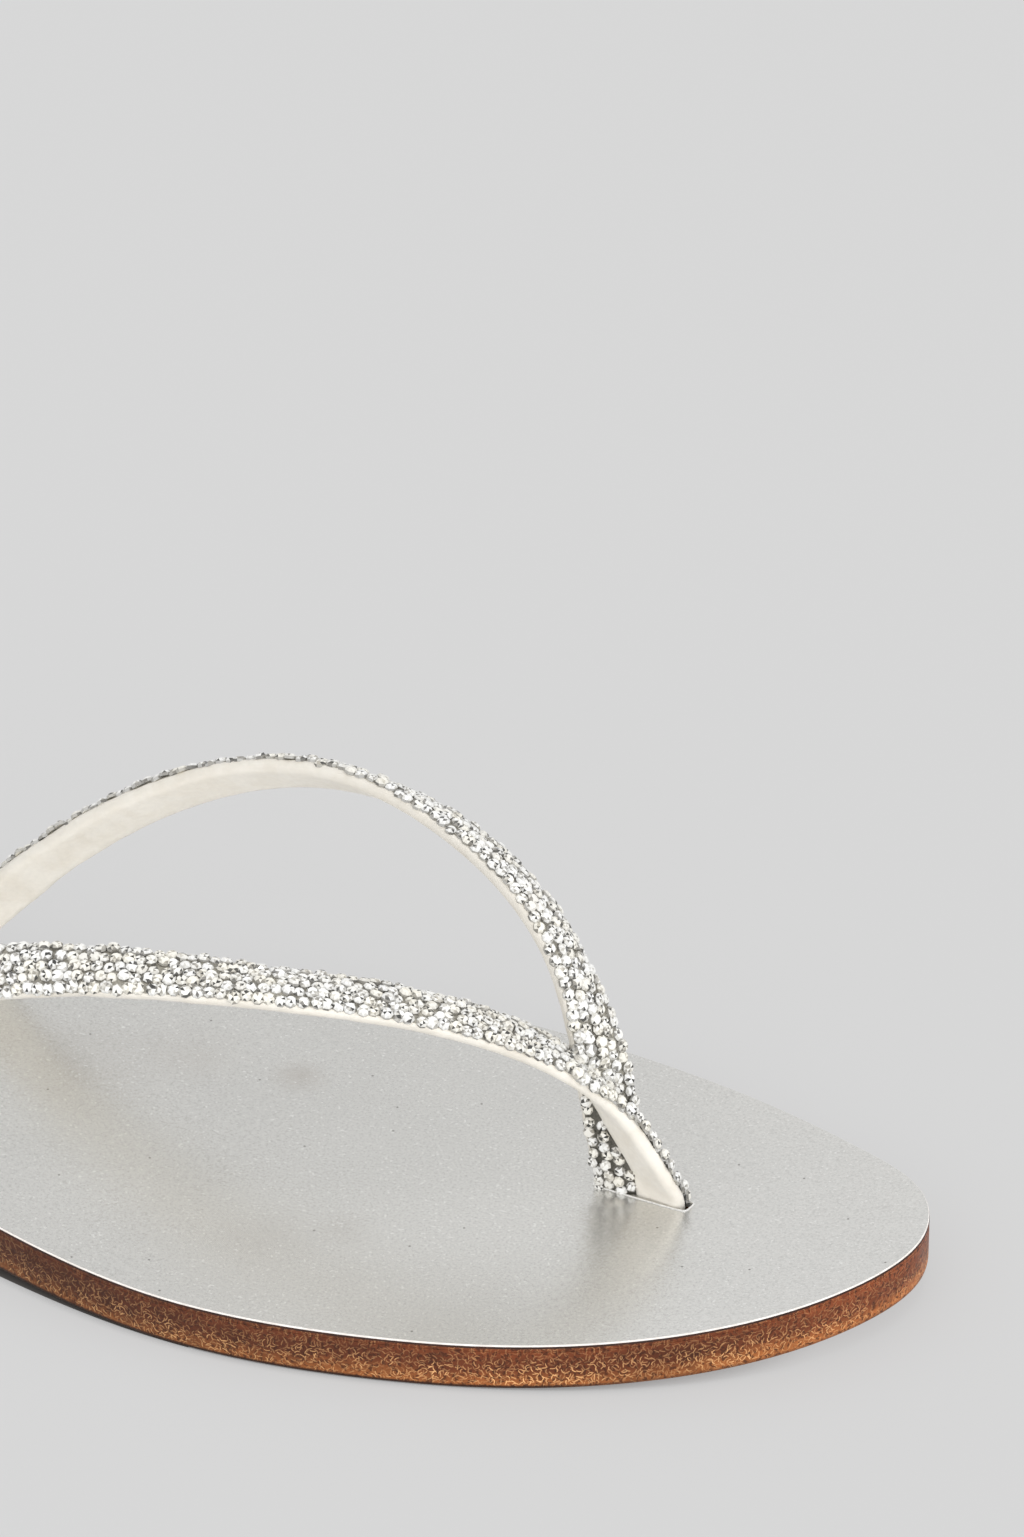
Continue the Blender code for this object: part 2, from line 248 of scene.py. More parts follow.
class SandalColours(bpy.types.PropertyGroup):
    sole_dark: FloatVectorProperty(
        name="Sole, dark", description="Burnished leather in the upper part of the sole's edge",
        default=srgb(96, 47, 22), size=3, min=0, max=1, subtype="COLOR")
    sole_tan: FloatVectorProperty(
        name="Sole, tan", description="Paler leather in the lower part of the sole's edge",
        default=srgb(146, 86, 43), size=3, min=0, max=1, subtype="COLOR")
    sole_fleck: FloatVectorProperty(
        name="Sole, flecks", description="Pale fibres in the cut edge of the sole",
        default=srgb(236, 180, 122), size=3, min=0, max=1, subtype="COLOR")
    insole_silver: FloatVectorProperty(
        name="Insole", description="Silver leather of the insole",
        default=(0.63, 0.625, 0.605), size=3, min=0, max=1, subtype="COLOR")
    lining_cream: FloatVectorProperty(
        name="Lining", description="Cream leather of the straps",
        default=srgb(247, 242, 232), size=3, min=0, max=1, subtype="COLOR")
    stone_white: FloatVectorProperty(
        name="Stones", description="Bright facets of the stones",
        default=(0.97, 0.97, 0.955), size=3, min=0, max=1, subtype="COLOR")
    stone_bed: FloatVectorProperty(
        name="Stone bed", description="Metal mesh between the stones",
        default=srgb(160, 156, 145), size=3, min=0, max=1, subtype="COLOR")
    floor_grey: FloatVectorProperty(
        name="Floor", description="Plain pale floor, lit from below like a light table",
        default=(0.679, 0.679, 0.679), size=3, min=0, max=1, subtype="COLOR")


# Curves through the tables.
def spline_slopes(knots, values, closed):
    """Slopes at the knots of the cubic spline through the values, closed or with free ends."""
    count = len(knots)
    steps = np.diff(knots)
    system = np.zeros((count, count))
    right = np.zeros((count, values.shape[1]))
    rises = np.diff(values, axis=0) / steps[:, None]
    for row in range(1, count - 1):
        before, after = steps[row - 1], steps[row]
        system[row, row - 1:row + 2] = after, 2 * (before + after), before
        right[row] = 3 * (after * rises[row - 1] + before * rises[row])
    if closed:
        before, after = steps[-1], steps[0]
        system[0, -2], system[0, 0], system[0, 1] = after, 2 * (before + after), before
        right[0] = 3 * (after * rises[-1] + before * rises[0])
        system[-1, 0], system[-1, -1] = 1, -1
    else:
        system[0, :2] = 2, 1
        system[-1, -2:] = 1, 2
        right[0], right[-1] = 3 * rises[0], 3 * rises[-1]
    return np.linalg.solve(system, right)


def spline(knots, values, places, closed=False):
    """Points of the smooth curve through the values, at the given places along the knots."""
    knots = np.asarray(knots, float)
    values = np.asarray(values, float)
    slopes = spline_slopes(knots, values, closed)
    first = np.clip(np.searchsorted(knots, places, side="right") - 1, 0, len(knots) - 2)
    step = (knots[first + 1] - knots[first])[:, None]
    share = (places - knots[first])[:, None] / step
    low, high = values[first], values[first + 1]
    return (
        low * (1 + 2 * share) * (1 - share) ** 2
        + slopes[first] * step * share * (1 - share) ** 2
        + high * share ** 2 * (3 - 2 * share)
        + slopes[first + 1] * step * share ** 2 * (share - 1)
    )


def unit(vectors):
    return vectors / np.linalg.norm(vectors, axis=-1, keepdims=True)


def travelled(points):
    """Distance to each of a line of points from the first of them."""
    return np.concatenate([[0.0], np.cumsum(np.linalg.norm(np.diff(points, axis=0), axis=1))])


def wall(mesh, ring, following):
    """Adds the faces between two closed rings of vertices."""
    count = len(ring)
    return [
        mesh.faces.new((ring[k], ring[(k + 1) % count], following[(k + 1) % count], following[k]))
        for k in range(count)
    ]


# Boards: sole, insole and heel.
def tread_height(x):
    """Height of the sole's underside: flat at the ball, sprung at the toe, raised to the heel."""
    toe = np.clip((x - TREAD_FRONT) / (LENGTH / 2 - TREAD_FRONT), 0, 1)
    arch = np.clip((TREAD_BACK - x) / (TREAD_BACK - HEEL_BREAST), 0, 1)
    return TOE_SPRING * toe ** 2 + HEEL_LIFT * arch ** 2 * (3 - 2 * arch)


def insole_top(x):
    return tread_height(x) + SOLE_THICKNESS + SEAT_GAP + INSOLE_THICKNESS


def outline_halves(inset):
    """The outer and inner half of the outline, pulled in by the inset, each from heel to toe."""
    points = np.array([(p.along, p.across) for p in OUTLINE]) * (LENGTH, BALL_WIDTH)
    points = np.vstack([points, points[:1]])
    knots = travelled(points)
    curve = spline(knots, points, np.linspace(0, knots[-1], CURVE_STEPS + 1), closed=True)
    low, high = curve.min(axis=0), curve.max(axis=0)
    curve = (curve - (low + high) / 2) * (LENGTH, BALL_WIDTH) / (high - low)
    tangent = unit(np.gradient(curve, axis=0))
    curve = curve + inset * np.stack([tangent[:, 1], -tangent[:, 0]], axis=1)
    tip, back = curve[:, 0].argmax() % CURVE_STEPS, curve[:, 0].argmin()
    outer = curve[np.arange(tip, tip + (back - tip) % CURVE_STEPS + 1) % CURVE_STEPS][::-1]
    inner = curve[np.arange(back, back + (tip - back) % CURVE_STEPS + 1) % CURVE_STEPS]
    return outer, inner


def board_stations(outer, breast, count):
    """Places along the shoe, close together where the outline turns."""
    back, tip = outer[0, 0], outer[-1, 0]
    turn = np.linspace(0, 1, count + 1)
    if breast is None:
        return (back + tip) / 2 - (tip - back) / 2 * np.cos(turn * np.pi)
    return back + (breast - back) * (1 - np.cos(turn * np.pi / 2))


def board_mesh(levels, base, breast=None, count=132, across=16, height_from=0.0):
    """Closed board of stacked outlines over a base height, ended at the heel's breast if one is given."""
    mesh = bmesh.new()
    height_layer = mesh.verts.layers.float.new("band_height")

    def vertex(x, y, height):
        made = mesh.verts.new((x * MM, y * MM, (base(x) + height) * MM))
        made[height_layer] = height + height_from
        return made

    loops = []
    grids = []
    for place, level in enumerate(levels):
        outer, inner = outline_halves(level.inset)
        x = board_stations(outer, breast, count)
        outer_y = np.interp(x, *outer.T)
        inner_y = np.interp(x, *inner.T)
        capped = place in (0, len(levels) - 1)
        rows = []
        for k in range(count + 1):
            ends = (outer_y[k], inner_y[k])
            if k == 0 or (k == count and breast is None):
                spread = [sum(ends) / 2]
            elif capped or k == count:
                spread = np.linspace(*ends, across + 1)
            else:
                spread = ends
            rows.append([vertex(x[k], y, level.height) for y in spread])
        front = rows[-1][1:-1]
        outer_side = [row[0] for row in rows]
        inner_side = [row[-1] for row in rows[1:]]
        if breast is None:
            inner_side = inner_side[:-1]
        loops.append(outer_side + front + inner_side[::-1])
        grids.append(rows)
    for lower, upper, level in zip(loops[:-1], loops[1:], levels[1:]):
        for face in wall(mesh, lower, upper):
            face.material_index = level.finish
    for rows, finish in ((grids[0], levels[0].finish), (grids[-1], levels[-1].finish)):
        for row, following in zip(rows[:-1], rows[1:]):
            for corners in strip(row, following):
                mesh.faces.new(corners).material_index = finish
    bmesh.ops.recalc_face_normals(mesh, faces=mesh.faces)
    mark_edge(mesh, height_layer, breast is not None)
    return mesh


def mark_edge(mesh, height_layer, breast):
    """Stores at each corner of a board's faces its place round the outline and up the edge."""
    place = mesh.loops.layers.float_vector.new("edge_place")
    outer, inner = outline_halves(0.0)
    outer_round, inner_round = travelled(outer), travelled(inner)
    whole = outer_round[-1] + inner_round[-1]
    for face in mesh.faces:
        middle = face.calc_center_median() / MM
        on_outer = 2 * middle.y < np.interp(middle.x, *outer.T) + np.interp(middle.x, *inner.T)
        for loop in face.loops:
            x = loop.vert.co.x / MM
            far = np.interp(x, outer[:, 0], outer_round)
            if face.normal.x > 0.99 and breast:
                far = whole + loop.vert.co.y / MM
            elif not on_outer:
                far = whole - np.interp(x, inner[:, 0], inner_round)
            loop[place] = (far * MM, loop.vert[height_layer] * MM, 0.0)


def strip(row, following):
    """Corners of the faces between two rows of vertices, where either row may be a single point."""
    if len(row) == 1:
        return [(row[0], b, a) for a, b in zip(following[:-1], following[1:])]
    if len(following) == 1:
        return [(a, b, following[0]) for a, b in zip(row[:-1], row[1:])]
    return [
        (row[k], row[k + 1], following[k + 1], following[k]) for k in range(len(row) - 1)
    ]


# Straps.
StrapPath = namedtuple("StrapPath", "middle along across outward length")


def strap_path(rows, outward_sign, sections):
    """Frames along a strap: its outer face's middle and the directions along, across and out of it."""
    knots = np.arange(len(rows), dtype=float)
    table = np.array([
        (TOE_SLOT_X + row.ahead, TOE_SLOT_Y + row.inside, row.height) + row.across for row in rows
    ])
    smooth = spline(knots, table, np.linspace(0, knots[-1], STRAP_STEPS + 1))
    lengths = travelled(smooth[:, :3])
    even = np.linspace(0, lengths[-1], sections + 1)
    frames = np.stack([np.interp(even, lengths, column) for column in smooth.T], axis=1)
    middle = frames[:, :3]
    along = unit(np.gradient(middle, axis=0))
    across = unit(frames[:, 3:] - along * (frames[:, 3:] * along).sum(axis=1)[:, None])
    outward = outward_sign * np.cross(along, across)
    return StrapPath(middle, along, across, outward, lengths[-1])


def lateral_path(sections=STRAP_SECTIONS):
    return strap_path(LATERAL_STRAP, 1, sections)


def medial_path(sections=STRAP_SECTIONS):
    return strap_path(MEDIAL_STRAP, -1, sections)


def crown(across):
    """How far the strap's outer face falls away at a distance from its middle line."""
    return -STRAP_CROWN * (across / (STRAP_WIDTH / 2)) ** 2


def quarter(centre, radius, start):
    """Points of a quarter turn round a centre, clockwise from the starting angle in degrees."""
    turns = np.radians(start - np.linspace(0, 90, 5))
    return [(centre[0] + radius * math.cos(t), centre[1] + radius * math.sin(t)) for t in turns]


def strap_profile(rounding, grow=0.0, softer=0.25):
    """Section of a strap as (across, outward) pairs, rounded more on the inside and grown all round."""
    half = STRAP_WIDTH / 2
    flat = half - rounding
    inner_round = rounding + softer
    turned = half - inner_round
    top = [(a, crown(a)) for a in np.linspace(-flat, flat, 11)]
    right = quarter((flat, crown(flat) - rounding), rounding, 90)
    lower_right = quarter((turned, inner_round - STRAP_THICKNESS), inner_round, 0)
    bottom = [(a, -STRAP_THICKNESS) for a in np.linspace(turned, -turned, 9)]
    lower_left = quarter((-turned, inner_round - STRAP_THICKNESS), inner_round, -90)
    left = quarter((-flat, crown(flat) - rounding), rounding, 180)
    pairs = top[:-1] + right + lower_right + bottom[1:-1] + lower_left + left[:-1]
    if grow:
        middle = -STRAP_THICKNESS / 2
        pairs = [
            (a + grow * np.sign(a) * min(1, abs(a)), o + grow * np.sign(o - middle)) for a, o in pairs
        ]
    return pairs


def bed_profile(thickness):
    """Section of the metal mesh under the stones, folded a little way down the strap's edges."""
    half = STRAP_WIDTH / 2 - BED_INSET
    flat = half - BED_CORNER
    top = [(a, seat_height(a) + thickness) for a in np.linspace(-flat, flat, 11)]
    shoulder = seat_height(half) + thickness - BED_CORNER
    return [(-half, -BED_FOLD), (-half, shoulder), *top, (half, shoulder), (half, -BED_FOLD)]


def seat_height(across):
    """Height of the stones' seats over the middle of the strap's outer face, less at its edges."""
    return crown(across) - SEAT_DROP * (abs(across) / (STRAP_WIDTH / 2)) ** 6


def band_mesh(mesh, path, profile, chosen, wander=0.0, wear_and_edge_shade=0.0):
    """Adds a closed band along the chosen frames of a path to the mesh.

    Its skin may wander a little, and its edges are marked with how much painted shade they take.
    """
    edge = mesh.verts.layers.float.get("edge") or mesh.verts.layers.float.new("edge")
    rings = []
    for place in chosen:
        ring = []
        for a, o in profile:
            corner = path.middle[place] + path.across[place] * a + path.outward[place] * o
            if wander:
                spot = Vector(corner)
                drift = noise.noise(spot * LONG_WAVES) + 0.5 * noise.noise(spot * SHORT_WAVES)
                drift = drift * wander * min(1.0, -o / STRAP_THICKNESS)
                corner = corner + (path.across[place] * np.sign(a) + path.outward[place] * 0.3) * drift
            ring.append(mesh.verts.new(corner * MM))
            # Painted shade: how much the strap's edges are darkened in the lining's finish, to tone down
            # the light they catch.
            ring[-1][edge] = wear_and_edge_shade * min(1.0, max(0.0, abs(a) - STRAP_WIDTH / 2 + STRAP_EDGE_SHADE))
        rings.append(ring)
    for ring, following in zip(rings[:-1], rings[1:]):
        wall(mesh, ring, following)
    mesh.faces.new(reversed(rings[0]))
    mesh.faces.new(rings[-1])


def insole_crossing(path, profile, toe_end):
    """Where each line of a strap's section goes through the insole's top, at its toe or side end."""
    points = []
    for a, o in profile:
        line = path.middle + path.across * a + path.outward * o
        above = line[:, 2] - insole_top(line[:, 0])
        crossings = np.nonzero(above[:-1] * above[1:] < 0)[0]
        k = crossings[0] if toe_end else crossings[-1]
        share = above[k] / (above[k] - above[k + 1])
        points.append((line[k] + (line[k + 1] - line[k]) * share)[:2])
    return np.array(points)


def hull(points):
    """The outline round a set of flat points, anticlockwise."""
    ordered = sorted(map(tuple, points))

    def half(run):
        chain = []
        for point in run:
            while len(chain) > 1:
                (ax, ay), (bx, by) = chain[-2], chain[-1]
                if (bx - ax) * (point[1] - ay) - (by - ay) * (point[0] - ax) > 0:
                    break
                chain.pop()
            chain.append(point)
        return chain[:-1]

    return np.array(half(ordered) + half(ordered[::-1]))


def evenly_round(points, count):
    """Points at even distances round a closed outline."""
    closed = np.vstack([points, points[:1]])
    lengths = travelled(closed)
    even = np.linspace(0, lengths[-1], count, endpoint=False)
    return np.stack([np.interp(even, lengths, column) for column in closed.T], axis=1)


def slit_outlines(grow):
    """Outlines of the toe slot and the two side slits on the insole."""
    profile = strap_profile(SLIT_ROUND, grow)
    lateral, medial = lateral_path(SLIT_SECTIONS), medial_path(SLIT_SECTIONS)
    toe = np.vstack([insole_crossing(path, profile, True) for path in (lateral, medial)])
    toe = np.vstack([toe, toe[toe[:, 0] > toe[:, 0].max() - 1.0] + (TOE_SLOT_SPARE, 0.0)])
    sides = [hull(insole_crossing(path, profile, False)) for path in (lateral, medial)]
    return {"toe": hull(toe), "lateral": sides[0], "medial": sides[1]}


# Objects, finishing and conversion.
def piece_from(name, mesh, materials, sharp_degrees=None):
    """A piece at the origin, from a mesh in the making."""
    data = bpy.data.meshes.new(name)
    mesh.to_mesh(data)
    mesh.free()
    for material in materials:
        data.materials.append(material)
    if sharp_degrees is not None:
        data.polygons.foreach_set("use_smooth", np.ones(len(data.polygons), bool))
        data.set_sharp_from_angle(angle=math.radians(sharp_degrees))
    data.update()
    return linked(name, data)


def linked(name, data):
    """A new object in the scene with the given data."""
    thing = bpy.data.objects.new(name, data)
    bpy.context.scene.collection.objects.link(thing)
    return thing


def evaluated_copy(thing):
    """The thing's mesh with its modifiers applied, as plain data."""
    graph = bpy.context.evaluated_depsgraph_get()
    return bpy.data.meshes.new_from_object(
        thing.evaluated_get(graph), preserve_all_data_layers=True, depsgraph=graph)


def cut_slits(thing, outlines):
    """Cuts the slits' straight pockets into a board, down to their floor above the tread."""
    cutters = []
    for name, outline in outlines.items():
        mesh = bmesh.new()
        lowest = float(tread_height(outline[:, 0]).max()) + SLIT_FLOOR
        low, high = [
            [mesh.verts.new((x * MM, y * MM, height * MM)) for x, y in outline]
            for height in (lowest, lowest + SLIT_CUT)
        ]
        wall(mesh, low, high)
        mesh.faces.new(low[::-1])
        mesh.faces.new(high)
        cutter = piece_from(f"cutter_{name}", mesh, [])
        cut = thing.modifiers.new(f"cut {name}", "BOOLEAN")
        cut.operation = "DIFFERENCE"
        cut.solver = "EXACT"
        cut.object = cutter
        cutters.append(cutter)
    bpy.context.view_layer.update()
    data = evaluated_copy(thing)
    thing.modifiers.clear()
    old = thing.data
    thing.data = data
    bpy.data.meshes.remove(old)
    for cutter in cutters:
        bpy.data.objects.remove(cutter, do_unlink=True)


# Nodes and materials.
def put(tree, socket, value):
    """Links a socket to a source, or sets its value, with full opacity added to a plain colour."""
    if isinstance(value, bpy.types.NodeSocket):
        tree.links.new(value, socket)
    elif hasattr(value, "__len__") and len(value) == 3 and len(socket.default_value) == 4:
        socket.default_value = (*value, 1.0)
    else:
        socket.default_value = value


def add_node(tree, kind, inputs=None, **settings):
    """Adds a node with its settings, then feeds or sets its inputs."""
    node = tree.nodes.new(kind)
    for setting, value in settings.items():
        setattr(node, setting, value)
    for socket, value in (inputs or {}).items():
        put(tree, node.inputs[socket], value)
    return node


def shaded(colour, share):
    """A colour times one share, or each of its channels times its own."""
    shares = share if hasattr(share, "__len__") else (share,) * 3
    return tuple(channel * part for channel, part in zip(colour, shares))


class Finish:
    """A Principled material with short calls for the nodes that feed it."""

    def __init__(self, name, **sockets):
        self.material = bpy.data.materials.new(name)
        self.material.use_nodes = True
        self.tree = self.material.node_tree
        self.shader = self.tree.nodes["Principled BSDF"]
        self.place = self.node("ShaderNodeTexCoord").outputs["Object"]
        for socket, value in sockets.items():
            label = socket.replace("_", " ").title().replace("Ior", "IOR")
            self.shader.inputs[label].default_value = value

    def node(self, kind, inputs=None, **settings):
        return add_node(self.tree, kind, inputs, **settings)

    def feed(self, socket, source):
        self.tree.links.new(source, self.shader.inputs[socket])

    def attribute(self, name, output="Fac"):
        return self.node("ShaderNodeAttribute", attribute_name=name).outputs[output]

    def along(self, axis="X"):
        """Distance ahead of the shoe's middle, or the place on another axis."""
        return self.node("ShaderNodeSeparateXYZ", {0: self.place}).outputs[axis]

    def spot(self, centre, reach):
        """One in the middle of a round spot seen from above, falling softly to nothing at its reach."""
        flat = self.node("ShaderNodeMapping", {
            "Vector": self.place, "Location": (-centre[0], -centre[1], 0.0), "Scale": (1.0, 1.0, 0.0)})
        far = self.node("ShaderNodeVectorMath", {0: flat.outputs["Vector"]}, operation="LENGTH")
        return self.span(far.outputs["Value"], 0.0, reach, 1.0, 0.0, "SMOOTHSTEP")

    def noise(self, scale, detail=2.0, roughness=0.5, distortion=0.0):
        node = self.node("ShaderNodeTexNoise", {
            "Vector": self.place, "Scale": scale, "Detail": detail, "Roughness": roughness,
            "Distortion": distortion})
        return node.outputs["Fac"]

    def scattered(self, scale):
        """Distance from the nearest of a scatter of points, seen from above."""
        return self.cells(self.place, scale)["Distance"]

    def cells(self, place, scale):
        """The outputs of a flat scatter of cells."""
        return self.node(
            "ShaderNodeTexVoronoi", {"Vector": place, "Scale": scale}, voronoi_dimensions="2D").outputs

    def ramp(self, value, stops):
        """Tones or colours at places along a value, blended between them."""
        node = self.node("ShaderNodeValToRGB", {"Fac": value})
        elements = node.color_ramp.elements
        while len(elements) < len(stops):
            elements.new(1.0)
        for element, (position, colour) in zip(elements, stops):
            element.position = position
            tone = colour if hasattr(colour, "__len__") else (colour,) * 3
            element.color = (*tone, 1.0)
        return node.outputs["Color"]

    def mix(self, factor, first, second, blend="MIX"):
        node = self.node(
            "ShaderNodeMix", {0: factor, 6: first, 7: second}, data_type="RGBA", blend_type=blend)
        return node.outputs[2]

    def tint(self, first, second):
        """One colour times another colour or tone."""
        return self.mix(1.0, first, second, "MULTIPLY")

    def math(self, operation, first, second=0.0):
        return self.node("ShaderNodeMath", {0: first, 1: second}, operation=operation).outputs[0]

    def times(self, first, second):
        return self.math("MULTIPLY", first, second)

    def span(self, value, low, high, to_low=0.0, to_high=1.0, curve="LINEAR"):
        """A value's range from low to high, laid on another range."""
        node = self.node("ShaderNodeMapRange", {
            "Value": value, "From Min": low, "From Max": high, "To Min": to_low, "To Max": to_high},
            interpolation_type=curve)
        return node.outputs["Result"]

    def wandering(self, scale, low, high, detail=2.0, roughness=0.5):
        """A value that wanders between two."""
        return self.span(self.noise(scale, detail, roughness), NOISE_LOW, NOISE_HIGH, low, high)

    def mottled(self, scale, low, high, detail=2.0, roughness=0.5):
        """A tone or colour that wanders between two."""
        return self.ramp(self.noise(scale, detail, roughness), ((NOISE_LOW, low), (NOISE_HIGH, high)))

    def openness(self, distance):
        """How open the surface is to the light above it: nothing in a narrow gap, one in the open."""
        return self.node("ShaderNodeAmbientOcclusion", {"Distance": distance}, samples=4).outputs["AO"]

    def bump(self, height, distance, strength):
        node = self.node("ShaderNodeBump", {"Height": height, "Distance": distance, "Strength": strength})
        self.feed("Normal", node.outputs["Normal"])


def cut_leather_finish(name, colours, darken=1.0):
    """The sole's cut edge: darker above, tan below, with pale curled fibres, painted light and shade along
    it and painted shade at its foot.
    """
    finish = Finish(name, specular_ior_level=0.28, coat_weight=0.06, coat_roughness=0.3)
    dark, tan, fleck = [
        shaded(colour, darken) for colour in (colours.sole_dark, colours.sole_tan, colours.sole_fleck)
    ]
    between = tuple((a + b) / 2 for a, b in zip(tan, dark))
    height = finish.span(finish.attribute("band_height"), 0.0, SOLE_THICKNESS)
    drift = finish.times(finish.math("SUBTRACT", finish.noise(70.0, 3.0), 0.5), 0.5)
    layers = finish.ramp(finish.math("ADD", height, drift), (
        (0.00, shaded(tan, 1.1)), (0.16, tan), (0.36, between), (0.55, dark), (0.84, shaded(dark, 0.95)),
        (1.00, shaded(dark, 1.3))))
    mottle = finish.mottled(420.0, 0.76, 1.2, 3.0, 0.6)
    # Painted light and shade along the edge: darker towards the heel, lighter ahead, a painted sheen at the
    # toe end.
    painted_light_ahead = finish.ramp(finish.span(finish.along(), 0.0, LENGTH / 2 * MM), (
        (0.08, 0.56), (0.45, 0.93), (0.64, 1.26), (0.82, 0.87), (0.96, 1.5)))
    base = finish.tint(finish.tint(layers, mottle), painted_light_ahead)
    fibres = finish.math("MAXIMUM", curled_fibres(finish, 1050.0, 0.0), curled_fibres(finish, 1200.0, 0.31))
    fibres = finish.times(fibres, finish.span(finish.noise(240.0), 0.36, 0.56, 0.5, 1.0))
    denser_below = finish.ramp(height, ((0.11, 0.4), (0.2, 1.0), (0.5, 0.85), (0.7, 0.6), (0.92, 0.3)))
    smoother_ahead = finish.span(finish.along(), 0.108, 0.124, 1.0, 0.35)
    shown = finish.times(fibres, finish.times(denser_below, smoother_ahead))
    with_fibres = finish.mix(shown, base, finish.tint(fleck, painted_light_ahead))
    pores = finish.span(finish.noise(1600.0, 1.0), 0.52, 0.62)
    pores = finish.times(pores, finish.math("SUBTRACT", 0.7, fibres))
    with_pores = finish.mix(pores, with_fibres, shaded(dark, 0.35))
    # Painted shade at the edge's foot where it meets the floor, weaker towards the toe where the sole
    # lifts.
    foot = finish.times(
        finish.span(height, 0.085, 0.13, 0.93, 0.0), finish.span(finish.along(), 0.085, 0.1, 1.0, 0.4))
    finish.feed("Base Color", finish.mix(foot, with_pores, shaded(dark, 0.16)))
    finish.feed("Roughness", finish.wandering(300.0, 0.36, 0.55))
    finish.bump(finish.math("SUBTRACT", fibres, pores), 0.00006, 0.5)
    return finish.material


def curled_fibres(finish, scale, shift):
    """Short threads on a board's edge, one in each of a scatter of cells, turned and bent by chance."""
    mapping = finish.node("ShaderNodeMapping", {
        "Vector": finish.attribute("edge_place", "Vector"), "Location": (shift, shift, 0.0)})
    laid = mapping.outputs["Vector"]
    cells = finish.cells(laid, scale)
    chance = finish.node("ShaderNodeSeparateColor", {"Color": cells["Color"]}).outputs
    offset = finish.node("ShaderNodeVectorMath", {0: laid, 1: cells["Position"]}, operation="SUBTRACT")
    turned = finish.node("ShaderNodeVectorRotate", {
        "Vector": offset.outputs["Vector"], "Angle": finish.times(chance["Red"], math.tau)},
        rotation_type="Z_AXIS")
    parts = finish.node("ShaderNodeSeparateXYZ", {0: turned.outputs["Vector"]}).outputs
    length = parts["X"]
    bend = finish.span(chance["Green"], 0.0, 1.0, -FIBRE_BEND, FIBRE_BEND)
    sag = finish.times(bend, finish.times(length, length))
    aside = finish.math("ABSOLUTE", finish.math("ADD", parts["Y"], sag))
    thread = finish.span(aside, *FIBRE_WIDTH, 1.0, 0.0)
    ends = finish.span(finish.math("ABSOLUTE", length), *FIBRE_LENGTH, 1.0, 0.0)
    paleness = finish.span(chance["Blue"], 0.0, 1.0, 0.2, 1.0)
    return finish.times(finish.times(thread, ends), paleness)


def sole_bottom_finish(colours):
    """The tread: plain leather with patches of wear."""
    finish = Finish("sole tread leather")
    tan = colours.sole_tan
    wear_and_edge_shade = finish.ramp(finish.noise(26.0, 5.0, 0.62), (
        (0.35, shaded(tan, 0.55)), (0.6, shaded(tan, 0.85)), (0.75, tan)))
    finish.feed("Base Color", finish.tint(wear_and_edge_shade, finish.mottled(900.0, 0.8, 1.15, 3.0)))
    finish.feed("Roughness", finish.wandering(40.0, 0.5, 0.75, 4.0))
    finish.bump(finish.noise(700.0, 4.0, 0.6), 0.0001, 0.4)
    return finish.material


def top_piece_finish():
    """Dark rubber of the heel's top piece."""
    finish = Finish("heel top piece rubber")
    finish.feed("Base Color", finish.mottled(400.0, (0.020, 0.013, 0.010), (0.045, 0.030, 0.022), 3.0))
    finish.feed("Roughness", finish.wandering(200.0, 0.55, 0.8, 3.0))
    finish.bump(finish.noise(1200.0, 3.0), 0.00008, 0.4)
    return finish.material


def edge_ink_and_gap_shade_finish(colours):
    """The thin dark line under the insole's rim: edge ink, and painted shade of the gap above the sole."""
    finish = Finish("edge ink")
    dark = colours.sole_dark
    finish.feed("Base Color", finish.mottled(600.0, shaded(dark, 0.18), shaded(dark, 0.42)))
    finish.feed("Roughness", finish.wandering(500.0, 0.4, 0.6))
    return finish.material


def pale_rim_and_highlight_finish():
    """The pale turned rim of the insole, its cream partly a painted highlight on the rounded silver edge.
    """
    finish = Finish("insole rim", roughness=0.35)
    finish.feed("Base Color", finish.mottled(700.0, srgb(226, 219, 213), srgb(248, 243, 238)))
    return finish.material


# Marks of wear on the insole, the last of them a painted reflection, in millimetres ahead of and inside the
# shoe's middle.
InsoleMark = namedtuple("InsoleMark", "ahead inside reach depth")
INSOLE_MARKS = (
    InsoleMark(21.5, 15.6, 6.0, 0.75),
    InsoleMark(-8.0, 3.0, 16.0, 0.32),
    InsoleMark(5.0, 13.0, 12.0, 0.28),
    InsoleMark(46.0, -17.0, 6.0, 0.26),
    InsoleMark(36.0, -25.0, 11.0, 0.20),
    InsoleMark(-30.0, -12.0, 22.0, 0.15),
    # Painted reflection of the toe post's dark stones on the foil, not a mark of wear.
    InsoleMark(81.0, 2.0, 9.0, 0.35),
)


